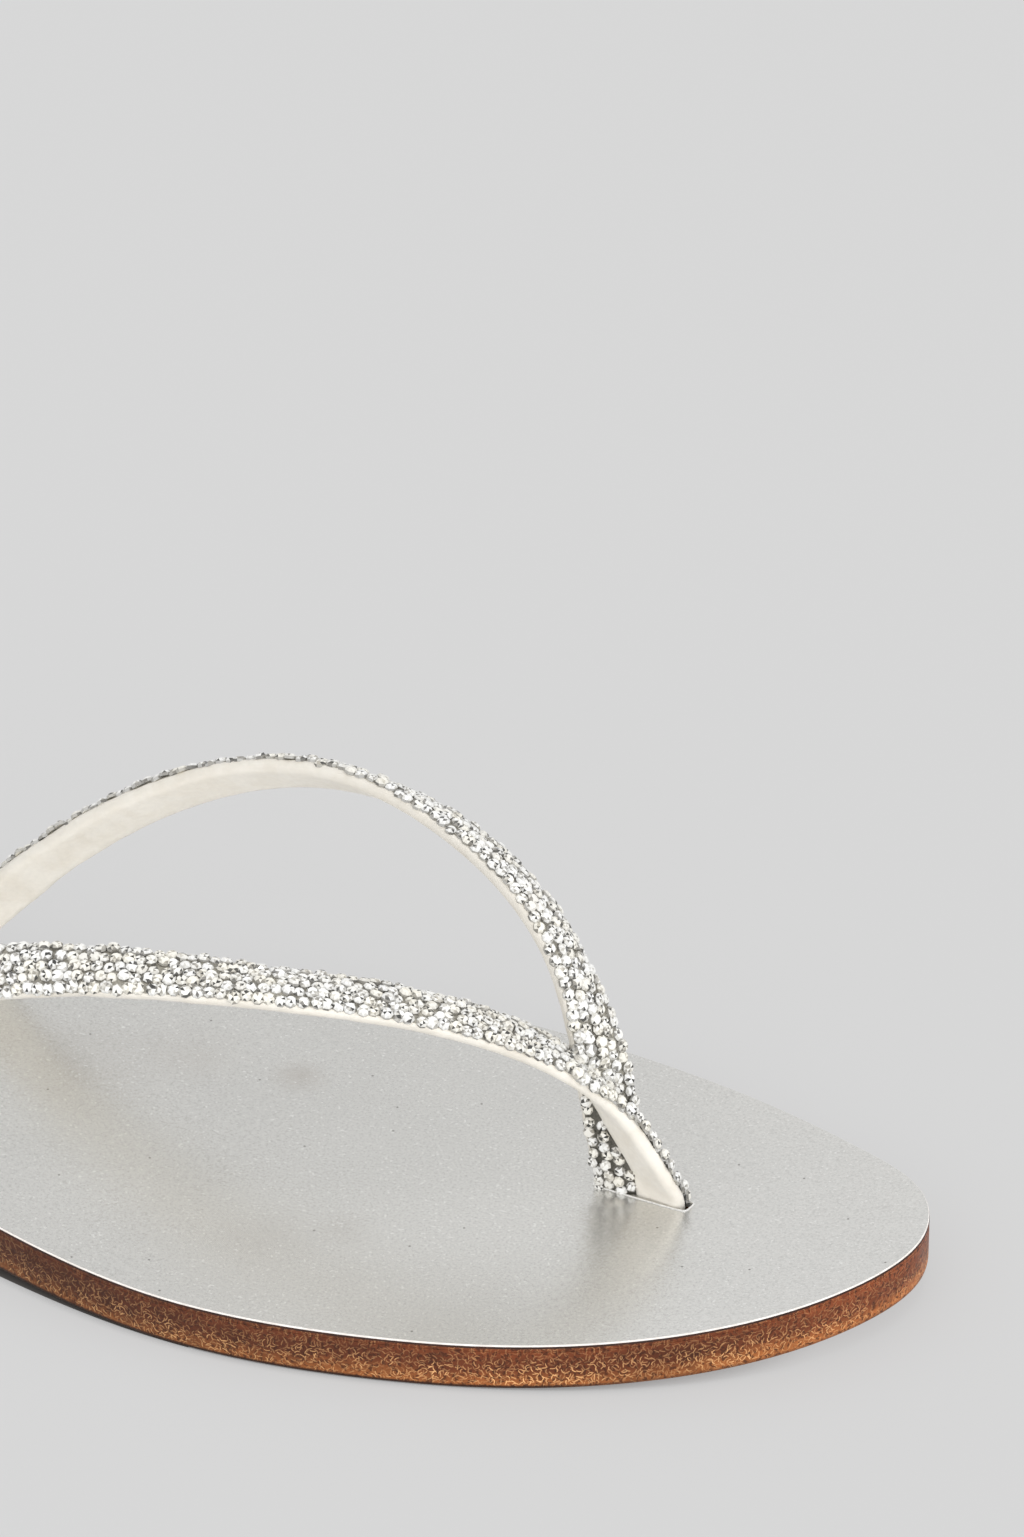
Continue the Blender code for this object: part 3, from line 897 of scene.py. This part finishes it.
def insole_finish(name, silver, marks=()):
    """Silver foil leather: grain with painted glints, soft cloudy patches with painted light, marks of wear
    and a painted reflection where given, and a few dark specks.
    """
    finish = Finish(name, metallic=0.75)
    # Random cloudy patches, times painted light that brightens the foil towards the toe.
    clouds_and_painted_light = finish.times(
        finish.wandering(24.0, 0.965, 1.025, 4.0, 0.55), finish.span(finish.along(), 0.02, 0.1, 0.99, 1.09))
    grain = finish.ramp(finish.noise(2300.0, 2.0, 0.7), ((0.28, 0.84), (0.5, 1.0), (0.72, 1.08)))
    tone = finish.tint(finish.tint(silver, clouds_and_painted_light), grain)
    for mark in marks:
        spot = finish.spot((mark.ahead * MM, mark.inside * MM), mark.reach * MM)
        # Each mark darkens the foil: marks of wear, and the last one a painted reflection.
        wear_and_painted_reflection = finish.times(spot, finish.wandering(120.0, 0.5 * mark.depth, mark.depth, 3.0))
        tone = finish.mix(wear_and_painted_reflection, tone, shaded(silver, (0.78, 0.74, 0.70)))
    # Painted glints: bright flecks painted into the foil's colour.
    painted_glints = finish.span(finish.noise(2100.0, 0.0), 0.72, 0.79)
    lit = finish.mix(finish.times(painted_glints, 0.38), tone, (0.95, 0.95, 0.93))
    specks = finish.span(finish.scattered(52.0), 0.006, 0.012, 0.75, 0.0)
    finish.feed("Base Color", finish.mix(specks, lit, (0.12, 0.11, 0.10)))
    finish.feed("Roughness", finish.wandering(36.0, 0.20, 0.27, 3.0))
    finish.bump(finish.noise(1500.0, 3.0, 0.65), 0.00003, 0.3)
    return finish.material


def lining_finish(colours):
    """Cream leather with a soft nap: slightly mottled, with a fine grain, and painted shade on its edges.
    """
    finish = Finish("cream strap leather", sheen_weight=0.25, sheen_roughness=0.5)
    cream = colours.lining_cream
    mottle = finish.ramp(finish.noise(190.0, 4.0, 0.6, 0.6), (
        (0.34, shaded(cream, (0.93, 0.915, 0.89))), (0.60, cream)))
    # Painted shade: the strap's edges darkened by the stored edge attribute.
    painted_edge_shade = finish.span(finish.attribute("edge"), 0.0, 1.0, 1.0, 0.78)
    fuzz = finish.mottled(1300.0, 0.96, 1.01)
    finish.feed("Base Color", finish.tint(finish.tint(mottle, painted_edge_shade), fuzz))
    finish.feed("Roughness", finish.wandering(300.0, 0.6, 0.8))
    finish.bump(finish.noise(650.0, 4.0, 0.65), 0.00014, 0.35)
    return finish.material


def bed_finish(colours):
    """Fine silver mesh between the stones, darker with painted shade in the patch below the crossing."""
    finish = Finish("stone bed mesh", metallic=0.55)
    bed = colours.stone_bed
    weave = finish.mottled(2200.0, shaded(bed, 0.6), shaded(bed, 1.4))
    # Painted shade: the bed darkened in the patch below the straps' crossing.
    behind = finish.span(finish.along(), PATCH_BACK, PATCH_BACK + PATCH_BLEND, 1.0, PATCH_BED_SHADE)
    above = finish.span(finish.along("Z"), PATCH_TOP - PATCH_BLEND, PATCH_TOP, PATCH_BED_SHADE, 1.0)
    finish.feed("Base Color", finish.tint(weave, finish.math("MAXIMUM", behind, above)))
    finish.feed("Roughness", finish.wandering(900.0, 0.35, 0.55))
    finish.bump(finish.noise(2400.0), 0.00006, 0.5)
    return finish.material


def stone_finish(colours):
    """Clear foil-backed stones: each facet's random tone is a painted reflection, from white to a few dark
    glints.
    """
    finish = Finish("clear set stones", metallic=0.25, roughness=0.07, coat_weight=0.6, coat_roughness=0.03)
    white = tuple(colours.stone_white)
    # Painted reflections: each facet gets a random tone from dark to white.
    facets = finish.ramp(finish.attribute("facet"), (
        (0.00, (0.03, 0.03, 0.03)), (0.075, (0.06, 0.06, 0.055)), (0.12, (0.26, 0.25, 0.235)),
        (0.22, (0.46, 0.445, 0.41)), (0.30, (0.70, 0.685, 0.64)), (0.38, white), (1.00, white)))
    warm = finish.ramp(finish.attribute("stone"), (
        (0.00, (1.0, 1.0, 1.0)), (0.55, (1.0, 0.992, 0.97)), (0.80, (1.0, 0.97, 0.89)),
        (1.00, (0.94, 0.92, 0.88))))
    # Painted shade: the girdle and lower crown facets darkened as the dark lines between the stones.
    outline = finish.times(finish.attribute("rim"), 0.66)
    finish.feed("Base Color", finish.mix(outline, finish.tint(facets, warm), (0.24, 0.23, 0.21)))
    return finish.material


# Set stones.
def stone_data():
    """One round stone, one across: a girdle marked for painted shade, a low crown of sixteen facets and a
    top of eight.
    """
    mesh = bmesh.new()
    rim = mesh.faces.layers.float.new("rim")

    def ring(radius, height, turn):
        angles = [math.tau * (k + turn) / 8 for k in range(8)]
        return [mesh.verts.new((radius * math.cos(a), radius * math.sin(a), height)) for a in angles]

    foot = ring(0.48, -0.12, 0.0)
    girdle = ring(0.50, 0.10, 0.0)
    table = ring(0.33, 0.27, 0.5)
    # The rim attribute: how much painted shade each face takes in the stones' finish, most on the girdle.
    for k in range(8):
        after = (k + 1) % 8
        mesh.faces.new((foot[k], foot[after], girdle[after], girdle[k]))[rim] = 1.0
        mesh.faces.new((girdle[k], girdle[after], table[k]))[rim] = 0.45
        mesh.faces.new((girdle[after], table[after], table[k]))[rim] = 0.2
    point = mesh.verts.new((0.0, 0.0, STONE_RISE))
    for k in range(8):
        mesh.faces.new((table[k], table[(k + 1) % 8], point))
    mesh.faces.new(foot[::-1])
    data = bpy.data.meshes.new("one stone")
    mesh.to_mesh(data)
    mesh.free()
    return data


def solid_tree(node):
    """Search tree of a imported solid, to ask whether a point is inside it."""
    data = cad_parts[node].data
    corners = [vertex.co.copy() for vertex in data.vertices]
    return BVHTree.FromPolygons(corners, [polygon.vertices[:] for polygon in data.polygons])


def inside(tree, point):
    """Whether a point lies in a closed solid, by counting the walls that a slanted line meets."""
    start = Vector(point)
    direction = Vector((0.31, 0.17, 0.94)).normalized()
    walls = 0
    while True:
        hit = tree.ray_cast(start, direction)
        if hit[0] is None:
            return walls % 2 == 1
        walls += 1
        start = hit[0] + direction * 1e-6


def bed_frames(path):
    """Frames of a strap that carry stones: clear of the insole at the toe slot and at the side slit."""
    above = path.middle[:, 2] - insole_top(path.middle[:, 0])
    toe_end = np.nonzero(above > BED_TOE_HEIGHT)[0][0]
    side_end = np.nonzero(above > BED_SIDE_HEIGHT)[0][-1]
    return range(toe_end, side_end + 1)


def bed_start(path):
    """How far along a strap the bed of its stones begins."""
    return path.length * bed_frames(path)[0] / (len(path.middle) - 1)


def frames_at(path, lengths):
    """The strap's middle, along, across and outward at given lengths from its toe end."""
    even = np.linspace(0, path.length, len(path.middle))
    return [
        np.stack([np.interp(lengths, even, column) for column in values.T], axis=1) for values in path[:4]
    ]


def stone_seats(path, sizes, nodes, reach):
    """Seats of the stones on a strap, with the directions out of and along it.

    Every other row is half a step along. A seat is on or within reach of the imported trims, and its
    stone is not buried in the straps' leather.
    """
    pitch = sizes.stone_pitch / MM
    toe_end = bed_start(path) + ROW_START
    lengths = np.arange(toe_end, path.length, pitch)
    steps = (lengths, lengths + pitch / 2)
    frames = [frames_at(path, step) for step in steps]
    probes = [frames_at(path, np.maximum(step, toe_end + PROBE_START)) for step in steps]
    trees = [solid_tree(node) for node in nodes]
    leather = solid_tree("upper")
    rise = sizes.bed_thickness + STONE_RISE * sizes.stone_diameter
    seats = []
    for column in range(len(lengths)):
        for row in range(sizes.stone_rows):
            a = (row - (sizes.stone_rows - 1) / 2) * pitch
            middle, _, across, outward = [values[column] for values in probes[row % 2]]
            core = middle + across * a + outward * (crown(a) + SEAT_GAP + PROBE_RISE)
            beside = [core + across * shift for shift in np.linspace(-reach, reach, 5)]
            if not any(inside(tree, probe * MM) for tree in trees for probe in beside):
                continue
            middle, along, across, outward = [values[column] for values in frames[row % 2]]
            seat = middle + across * a + outward * seat_height(a)
            slope = (seat_height(a - 0.1) - seat_height(a + 0.1)) / 0.2
            lean = unit(outward + across * slope * 1.3)
            if inside(leather, seat * MM + lean * rise):
                continue
            seats.append((seat * MM + lean * sizes.bed_thickness, lean, along))
    return seats


def edge_seats(path, sizes):
    """Seats of one more short row of stones from the toe, over the strap's forward edge."""
    toe_end = bed_start(path) + EDGE_ROW_START
    lengths = np.arange(toe_end, toe_end + EDGE_ROW_RUN, sizes.stone_pitch / MM)
    middle, along, across, outward = frames_at(path, lengths)
    lean = unit(across * 0.8 + outward * 0.6)
    seat = (middle + across * (STRAP_WIDTH / 2 - 0.2) - outward * 0.1) * MM
    return list(zip(seat + lean * sizes.bed_thickness, lean, along))


def stones_tree():
    """Node tree that sets a stone on every seat, with small differences in place, size and turn."""
    tree = bpy.data.node_groups.new("set stones", "GeometryNodeTree")
    sockets = {}
    for name, kind in (
        ("Seats", "Geometry"), ("Stone", "Object"), ("Diameter", "Float"), ("Tilt", "Float"),
        ("Drift", "Float"), ("Seed", "Int"), ("Finish", "Material"),
    ):
        socket = tree.interface.new_socket(name, in_out="INPUT", socket_type=f"NodeSocket{kind}")
        sockets[name] = socket.identifier
    tree.interface.new_socket("Stones", in_out="OUTPUT", socket_type="NodeSocketGeometry")
    given = tree.nodes.new("NodeGroupInput").outputs

    def add(kind, inputs=None, **settings):
        return add_node(tree, kind, inputs, **settings).outputs

    def named(name):
        return add("GeometryNodeInputNamedAttribute", {"Name": name}, data_type="FLOAT_VECTOR")["Attribute"]

    def worked_out(operation, first, second):
        return add("ShaderNodeMath", {0: first, 1: second}, operation=operation)[0]

    def random(kind, low, high, shift):
        first, output = {"FLOAT_VECTOR": (0, 0), "FLOAT": (2, 1)}[kind]
        seed = worked_out("ADD", given["Seed"], shift)
        inputs = {first: low, first + 1: high, "Seed": seed}
        return add("FunctionNodeRandomValue", inputs, data_type=kind)[output]

    def three(x, y, z):
        return add("ShaderNodeCombineXYZ", {0: x, 1: y, 2: z})[0]

    def store(source, name, domain, shift):
        inputs = {"Geometry": source, "Name": name, "Value": random("FLOAT", 0.0, 1.0, shift)}
        return add("GeometryNodeStoreNamedAttribute", inputs, data_type="FLOAT", domain=domain)["Geometry"]

    drift = given["Drift"]
    less_drift = worked_out("MULTIPLY", drift, -1.0)
    least, most = [three(value, value, value) for value in (less_drift, drift)]
    nudge = random("FLOAT_VECTOR", least, most, 1)
    moved = add("GeometryNodeSetPosition", {"Geometry": given["Seats"], "Offset": nudge})["Geometry"]

    stand = add("FunctionNodeAlignRotationToVector", {"Vector": named("outward")}, axis="Z")["Rotation"]
    face = add("FunctionNodeAlignRotationToVector", {"Rotation": stand, "Vector": named("along")},
               axis="X", pivot_axis="Z")["Rotation"]
    tilt = given["Tilt"]
    less_tilt = worked_out("MULTIPLY", tilt, -1.0)
    lean = random("FLOAT_VECTOR", three(less_tilt, less_tilt, -3.1), three(tilt, tilt, 3.1), 2)
    turn = add("FunctionNodeEulerToRotation", {"Euler": lean})["Rotation"]
    turned = add("FunctionNodeRotateRotation", {"Rotation": face, "Rotate By": turn},
                 rotation_space="LOCAL")["Rotation"]

    parted = add("ShaderNodeSeparateXYZ", {0: add("GeometryNodeInputPosition")["Position"]})
    behind, above = [
        add("ShaderNodeMapRange", {
            "Value": parted[axis], "From Min": low, "From Max": low + PATCH_BLEND,
            "To Min": at_low, "To Max": at_high})["Result"]
        for axis, low, at_low, at_high in (
            ("X", PATCH_BACK, 1.0, PATCH_STONE), ("Z", PATCH_TOP - PATCH_BLEND, PATCH_STONE, 1.0))
    ]
    across = worked_out("MULTIPLY", given["Diameter"], worked_out("MAXIMUM", behind, above))
    size = worked_out("MULTIPLY", across, random("FLOAT", 0.93, 1.05, 3))

    stone = add("GeometryNodeObjectInfo", {"Object": given["Stone"], "As Instance": True})["Geometry"]
    setting = add("GeometryNodeInstanceOnPoints", {
        "Points": moved, "Instance": stone, "Rotation": turned, "Scale": size})["Instances"]
    each_stone = store(setting, "stone", "INSTANCE", 4)
    realized = add("GeometryNodeRealizeInstances", {"Geometry": each_stone})["Geometry"]
    each_facet = store(realized, "facet", "FACE", 5)
    painted = add("GeometryNodeSetMaterial", {"Geometry": each_facet, "Material": given["Finish"]})
    add("NodeGroupOutput", {"Stones": painted["Geometry"]})
    return tree, sockets


def set_stones(name, seats, sizes, tree, sockets, stone, finish, seed):
    """Runs the node tree over the seats and keeps its result as a plain mesh."""
    data = bpy.data.meshes.new(f"{name} seats")
    data.from_pydata([tuple(seat) for seat, _, _ in seats], [], [])
    for label, column in (("outward", 1), ("along", 2)):
        layer = data.attributes.new(label, "FLOAT_VECTOR", "POINT")
        layer.data.foreach_set("vector", np.array([seat[column] for seat in seats]).ravel())
    carrier = linked(f"{name} seats", data)
    modifier = carrier.modifiers.new("set stones", "NODES")
    modifier.node_group = tree
    for label, value in (
        ("Stone", stone), ("Diameter", sizes.stone_diameter), ("Tilt", STONE_TILT), ("Drift", STONE_DRIFT),
        ("Seed", seed), ("Finish", finish),
    ):
        modifier[sockets[label]] = value
    bpy.context.view_layer.update()
    made = evaluated_copy(carrier)
    carrier.modifiers.clear()
    bpy.data.objects.remove(carrier, do_unlink=True)
    for spare in ("outward", "along"):
        if spare in made.attributes:
            made.attributes.remove(made.attributes[spare])
    return linked(name, made)


# Operators, one for each piece or group of pieces.
class SANDAL_OT_sole(bpy.types.Operator):
    """Leather sole with a cut, burnished edge and a plain tread"""

    bl_idname = "sandal.sole"
    bl_label = "Sole"

    def execute(self, context):
        colours = context.scene.sandal_colours
        levels = (
            Level(0.60, 0.00, 1), Level(0.30, 0.06, 1), Level(0.10, 0.24, 0), Level(0.02, 0.6, 0),
            Level(0.00, 1.2, 0), Level(0.00, 3.2, 0), Level(0.00, 5.4, 0), Level(0.00, 6.66, 0),
            Level(0.40, 6.68, 0),
        )
        finishes = [cut_leather_finish("cut sole leather", colours), sole_bottom_finish(colours)]
        sole = piece_from("outsole", board_mesh(levels, tread_height), finishes, sharp_degrees=40)
        cut_slits(sole, slit_outlines(context.scene.sandal_sizes.slit_gap / MM))
        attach(sole, "root")
        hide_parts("sole")
        return {"FINISHED"}


class SANDAL_OT_heel(bpy.types.Operator):
    """Low heel of stacked leather lifts over a darker top piece"""

    bl_idname = "sandal.heel"
    bl_label = "Heel"

    def execute(self, context):
        colours = context.scene.sandal_colours
        levels = (
            Level(1.3, 0.00, 1), Level(0.95, 0.10, 1), Level(0.82, 0.35, 1), Level(0.80, 1.90, 1),
            Level(0.95, 2.00, 1), Level(0.95, 2.06, 0), Level(0.80, 2.16, 0), Level(0.80, 3.90, 0),
            Level(0.94, 3.98, 0), Level(0.94, 4.04, 0), Level(0.80, 4.12, 0), Level(0.80, 5.90, 0),
            Level(1.00, 5.97, 0),
        )
        mesh = board_mesh(levels, lambda x: 0.0, HEEL_BREAST, count=60, across=14)
        finishes = [cut_leather_finish("stacked heel leather", colours, 0.85), top_piece_finish()]
        heel = piece_from("heel_stack", mesh, finishes, sharp_degrees=40)
        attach(heel, "root")
        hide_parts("heel")
        return {"FINISHED"}


class SANDAL_OT_insole(bpy.types.Operator):
    """Silver insole with a pale rim partly painted as highlight, a dark line of edge ink and painted gap
    shade, and lips round the strap slits painted brighter
    """

    bl_idname = "sandal.insole"
    bl_label = "Insole"

    def execute(self, context):
        colours = context.scene.sandal_colours
        sizes = context.scene.sandal_sizes
        silver = tuple(colours.insole_silver)
        levels = (
            Level(0.40, 0.00, 3), Level(0.00, 0.02, 3), Level(0.00, 0.52, 3), Level(0.05, 0.56, 2),
            Level(0.05, 0.86, 2), Level(0.08, 0.90, 1), Level(0.09, 0.99, 1), Level(0.12, 1.06, 1),
            Level(0.18, 1.10, 1), Level(0.22, 1.10, 0), Level(0.80, 1.10, 0),
        )
        # The rim's finish carries a painted highlight, and the edge ink's finish a painted shade of the gap
        # under the insole.
        finishes = [
            insole_finish("silver insole leather", silver, INSOLE_MARKS), pale_rim_and_highlight_finish(),
            edge_ink_and_gap_shade_finish(colours), cut_leather_finish("cut insole leather", colours),
        ]

        def seat(x):
            return tread_height(x) + SOLE_THICKNESS + SEAT_GAP

        mesh = board_mesh(levels, seat, height_from=SOLE_THICKNESS)
        insole = piece_from("insole_cover", mesh, finishes, sharp_degrees=50)
        outlines = slit_outlines(sizes.slit_gap / MM)
        cut_slits(insole, outlines)
        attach(insole, "root")
        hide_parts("insole")
        # The lips' silver is painted brighter: a painted highlight along each slit's edge.
        lip_highlight_finish = insole_finish("turned slit lip", shaded(silver, 1.3))
        lips = piece_from("slit_lips", lip_mesh(outlines, sizes.lip_radius), [lip_highlight_finish], sharp_degrees=80)
        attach(lips, "root")
        return {"FINISHED"}


def lip_mesh(outlines, radius):
    """Thin rounded lip along each slit's outline, half sunk in the insole."""
    mesh = bmesh.new()
    for outline in outlines.values():
        line = evenly_round(outline, LIP_STEPS)
        tangent = unit(np.roll(line, -1, axis=0) - np.roll(line, 1, axis=0))
        rings = []
        for (x, y), (tx, ty) in zip(line, tangent):
            centre = Vector((x * MM, y * MM, float(insole_top(x)) * MM))
            out = Vector((ty, -tx, 0.0))
            ring = []
            for k in range(LIP_SIDES):
                turn = math.tau * k / LIP_SIDES
                offset = out * (radius * math.cos(turn)) + Vector((0, 0, radius * math.sin(turn)))
                ring.append(mesh.verts.new(centre + offset))
            rings.append(ring)
        for ring, following in zip(rings, rings[1:] + rings[:1]):
            wall(mesh, ring, following)
    bmesh.ops.recalc_face_normals(mesh, faces=mesh.faces)
    return mesh


class SANDAL_OT_straps(bpy.types.Operator):
    """Two cream leather straps that meet in the toe post"""

    bl_idname = "sandal.straps"
    bl_label = "Straps"

    def execute(self, context):
        colours = context.scene.sandal_colours
        sizes = context.scene.sandal_sizes
        mesh = bmesh.new()
        profile = strap_profile(sizes.strap_round / MM, softer=STRAP_SOFTER)
        # Painted edge shade: full on the medial strap, weaker on the lateral one.
        for path, wear_and_edge_shade in ((lateral_path(), 0.3), (medial_path(), 1.0)):
            band_mesh(mesh, path, profile, range(STRAP_SECTIONS + 1), STRAP_WANDER, wear_and_edge_shade)
        bmesh.ops.recalc_face_normals(mesh, faces=mesh.faces)
        straps = piece_from("straps", mesh, [lining_finish(colours)], sharp_degrees=60)
        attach(straps, "root")
        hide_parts("upper")
        return {"FINISHED"}


class SANDAL_OT_stones(bpy.types.Operator):
    """Rows of set stones on a bed of fine metal mesh along both straps"""

    bl_idname = "sandal.stones"
    bl_label = "Stones"

    def execute(self, context):
        colours = context.scene.sandal_colours
        sizes = context.scene.sandal_sizes
        bed = bmesh.new()
        for path in (lateral_path(), medial_path()):
            band_mesh(bed, path, bed_profile(sizes.bed_thickness / MM), bed_frames(path))
        bmesh.ops.recalc_face_normals(bed, faces=bed.faces)
        beds = piece_from("stone_beds", bed, [bed_finish(colours)], sharp_degrees=50)
        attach(beds, "root")
        one = linked("one stone", stone_data())
        finish = stone_finish(colours)
        tree, sockets = stones_tree()
        for name, path, nodes, reach in (
            ("stones_lateral", lateral_path(), ("stone_trim_lateral",), 1.1),
            ("stones_medial", medial_path(), ("stone_trim_medial", "stone_trim_toe"), 2.2),
        ):
            seats = stone_seats(path, sizes, nodes, reach)
            if name == "stones_lateral":
                seats += edge_seats(path, sizes)
            seed = sizes.stone_seed + 20 * len(nodes)
            stones = set_stones(name, seats, sizes, tree, sockets, one, finish, seed)
            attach(stones, "root")
            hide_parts(*nodes)
        bpy.data.objects.remove(one, do_unlink=True)
        return {"FINISHED"}


class SANDAL_OT_stage(bpy.types.Operator):
    """Pale floor, soft light and the camera"""

    bl_idname = "sandal.stage"
    bl_label = "Stage"

    def execute(self, context):
        scene = context.scene
        floor_mesh = bmesh.new()
        bmesh.ops.create_grid(floor_mesh, x_segments=8, y_segments=8, size=6.0)
        grey = scene.sandal_colours.floor_grey
        finish = Finish(
            "pale floor", roughness=0.9, specular_ior_level=0.0, base_color=(0.18, 0.18, 0.18, 1.0),
            emission_color=(*grey, 1.0))
        # Painted shadow: the floor's glow dimmed where little is open above it, less towards the toe.
        painted_contact_shadow = finish.times(
            finish.span(finish.openness(0.0032), 0.2, 0.6, 1.0, 0.0),
            finish.span(finish.along(), 0.07, 0.1, 0.5, 0.3))
        finish.feed("Emission Strength", finish.math("SUBTRACT", FLOOR_GLOW, painted_contact_shadow))
        floor = piece_from("floor", floor_mesh, [finish.material])
        arch_shade()
        add_world()
        for lamp in LAMPS:
            add_sun(lamp)
        add_camera(scene)
        scene.view_settings.view_transform = "Standard"
        scene.view_settings.look = "None"
        return {"FINISHED"}


def arch_shade():
    """The deep shade on the floor under the raised arch."""
    outer, inner = outline_halves(0.2)
    mesh = bmesh.new()
    corners = []
    for half in (outer, inner[::-1]):
        under = (half[:, 0] > HEEL_BREAST - SHADE_UNDER_HEEL) & (half[:, 0] < TREAD_BACK)
        corners += [mesh.verts.new((x * MM, y * MM, 0.00001)) for x, y in half[under]]
    mesh.faces.new(corners)
    shade = Finish(
        "arch shade", roughness=0.9, specular_ior_level=0.0, base_color=(0.13, 0.125, 0.12, 1.0))
    return piece_from("arch_shade", mesh, [shade.material])


def add_world():
    """Even white studio light from all round."""
    world = bpy.data.worlds.new("studio")
    bpy.context.scene.world = world
    world.use_nodes = True
    background = world.node_tree.nodes["Background"]
    background.inputs["Color"].default_value = (1.0, 1.0, 1.0, 1.0)
    background.inputs["Strength"].default_value = WORLD_STRENGTH


def add_sun(lamp):
    """A distant lamp in its direction from the shoe, as soft as its spread."""
    sun = bpy.data.lights.new(lamp.name, "SUN")
    sun.energy = lamp.strength
    sun.angle = math.radians(lamp.spread)
    thing = linked(lamp.name, sun)
    thing.rotation_mode = "QUATERNION"
    thing.rotation_quaternion = Vector(lamp.towards).to_track_quat("Z", "Y")
    thing.visible_glossy = lamp.glossy


def add_camera(scene):
    """Camera above the outer side of the toe, looking back and down along the shoe, as in the photo."""
    turn, rise = math.radians(CAMERA_TURN), math.radians(CAMERA_RISE)
    back = Vector((math.sin(turn) * math.cos(rise), -math.cos(turn) * math.cos(rise), math.sin(rise)))
    right = Vector((math.cos(turn), math.sin(turn), 0.0))
    up = back.cross(right)
    camera_data = bpy.data.cameras.new("camera")
    camera_data.lens = CAMERA_LENS
    camera_data.sensor_width = 36.0
    camera_data.clip_start = 0.05
    camera_data.clip_end = 50.0
    camera = linked("camera", camera_data)
    turned = Matrix((right, up, back)).transposed().to_4x4()
    camera.matrix_world = Matrix.Translation(CAMERA_PLACE) @ turned
    scene.camera = camera


class SANDAL_PT_panel(bpy.types.Panel):
    """Sizes, colours and build steps of the sandal"""

    bl_idname = "SANDAL_PT_panel"
    bl_label = "Thong Sandal"
    bl_space_type = "VIEW_3D"
    bl_region_type = "UI"
    bl_category = "Sandal"

    def draw(self, context):
        layout = self.layout
        for group in (context.scene.sandal_sizes, context.scene.sandal_colours):
            box = layout.box()
            for name in group.__annotations__:
                box.prop(group, name)
        for operator in OPERATORS:
            layout.operator(operator.bl_idname)


OPERATORS = (
    SANDAL_OT_stage, SANDAL_OT_sole, SANDAL_OT_heel, SANDAL_OT_insole, SANDAL_OT_straps, SANDAL_OT_stones,
)
CLASSES = (SandalSizes, SandalColours, *OPERATORS, SANDAL_PT_panel)


def register():
    for cls in CLASSES:
        bpy.utils.register_class(cls)
    bpy.types.Scene.sandal_sizes = PointerProperty(type=SandalSizes)
    bpy.types.Scene.sandal_colours = PointerProperty(type=SandalColours)


def unregister():
    del bpy.types.Scene.sandal_colours
    del bpy.types.Scene.sandal_sizes
    for cls in reversed(CLASSES):
        bpy.utils.unregister_class(cls)


def main():
    register()
    bpy.ops.sandal.stage()
    bpy.ops.sandal.sole()
    bpy.ops.sandal.heel()
    bpy.ops.sandal.insole()
    bpy.ops.sandal.straps()
    bpy.ops.sandal.stones()


if __name__ == "__main__":
    main()
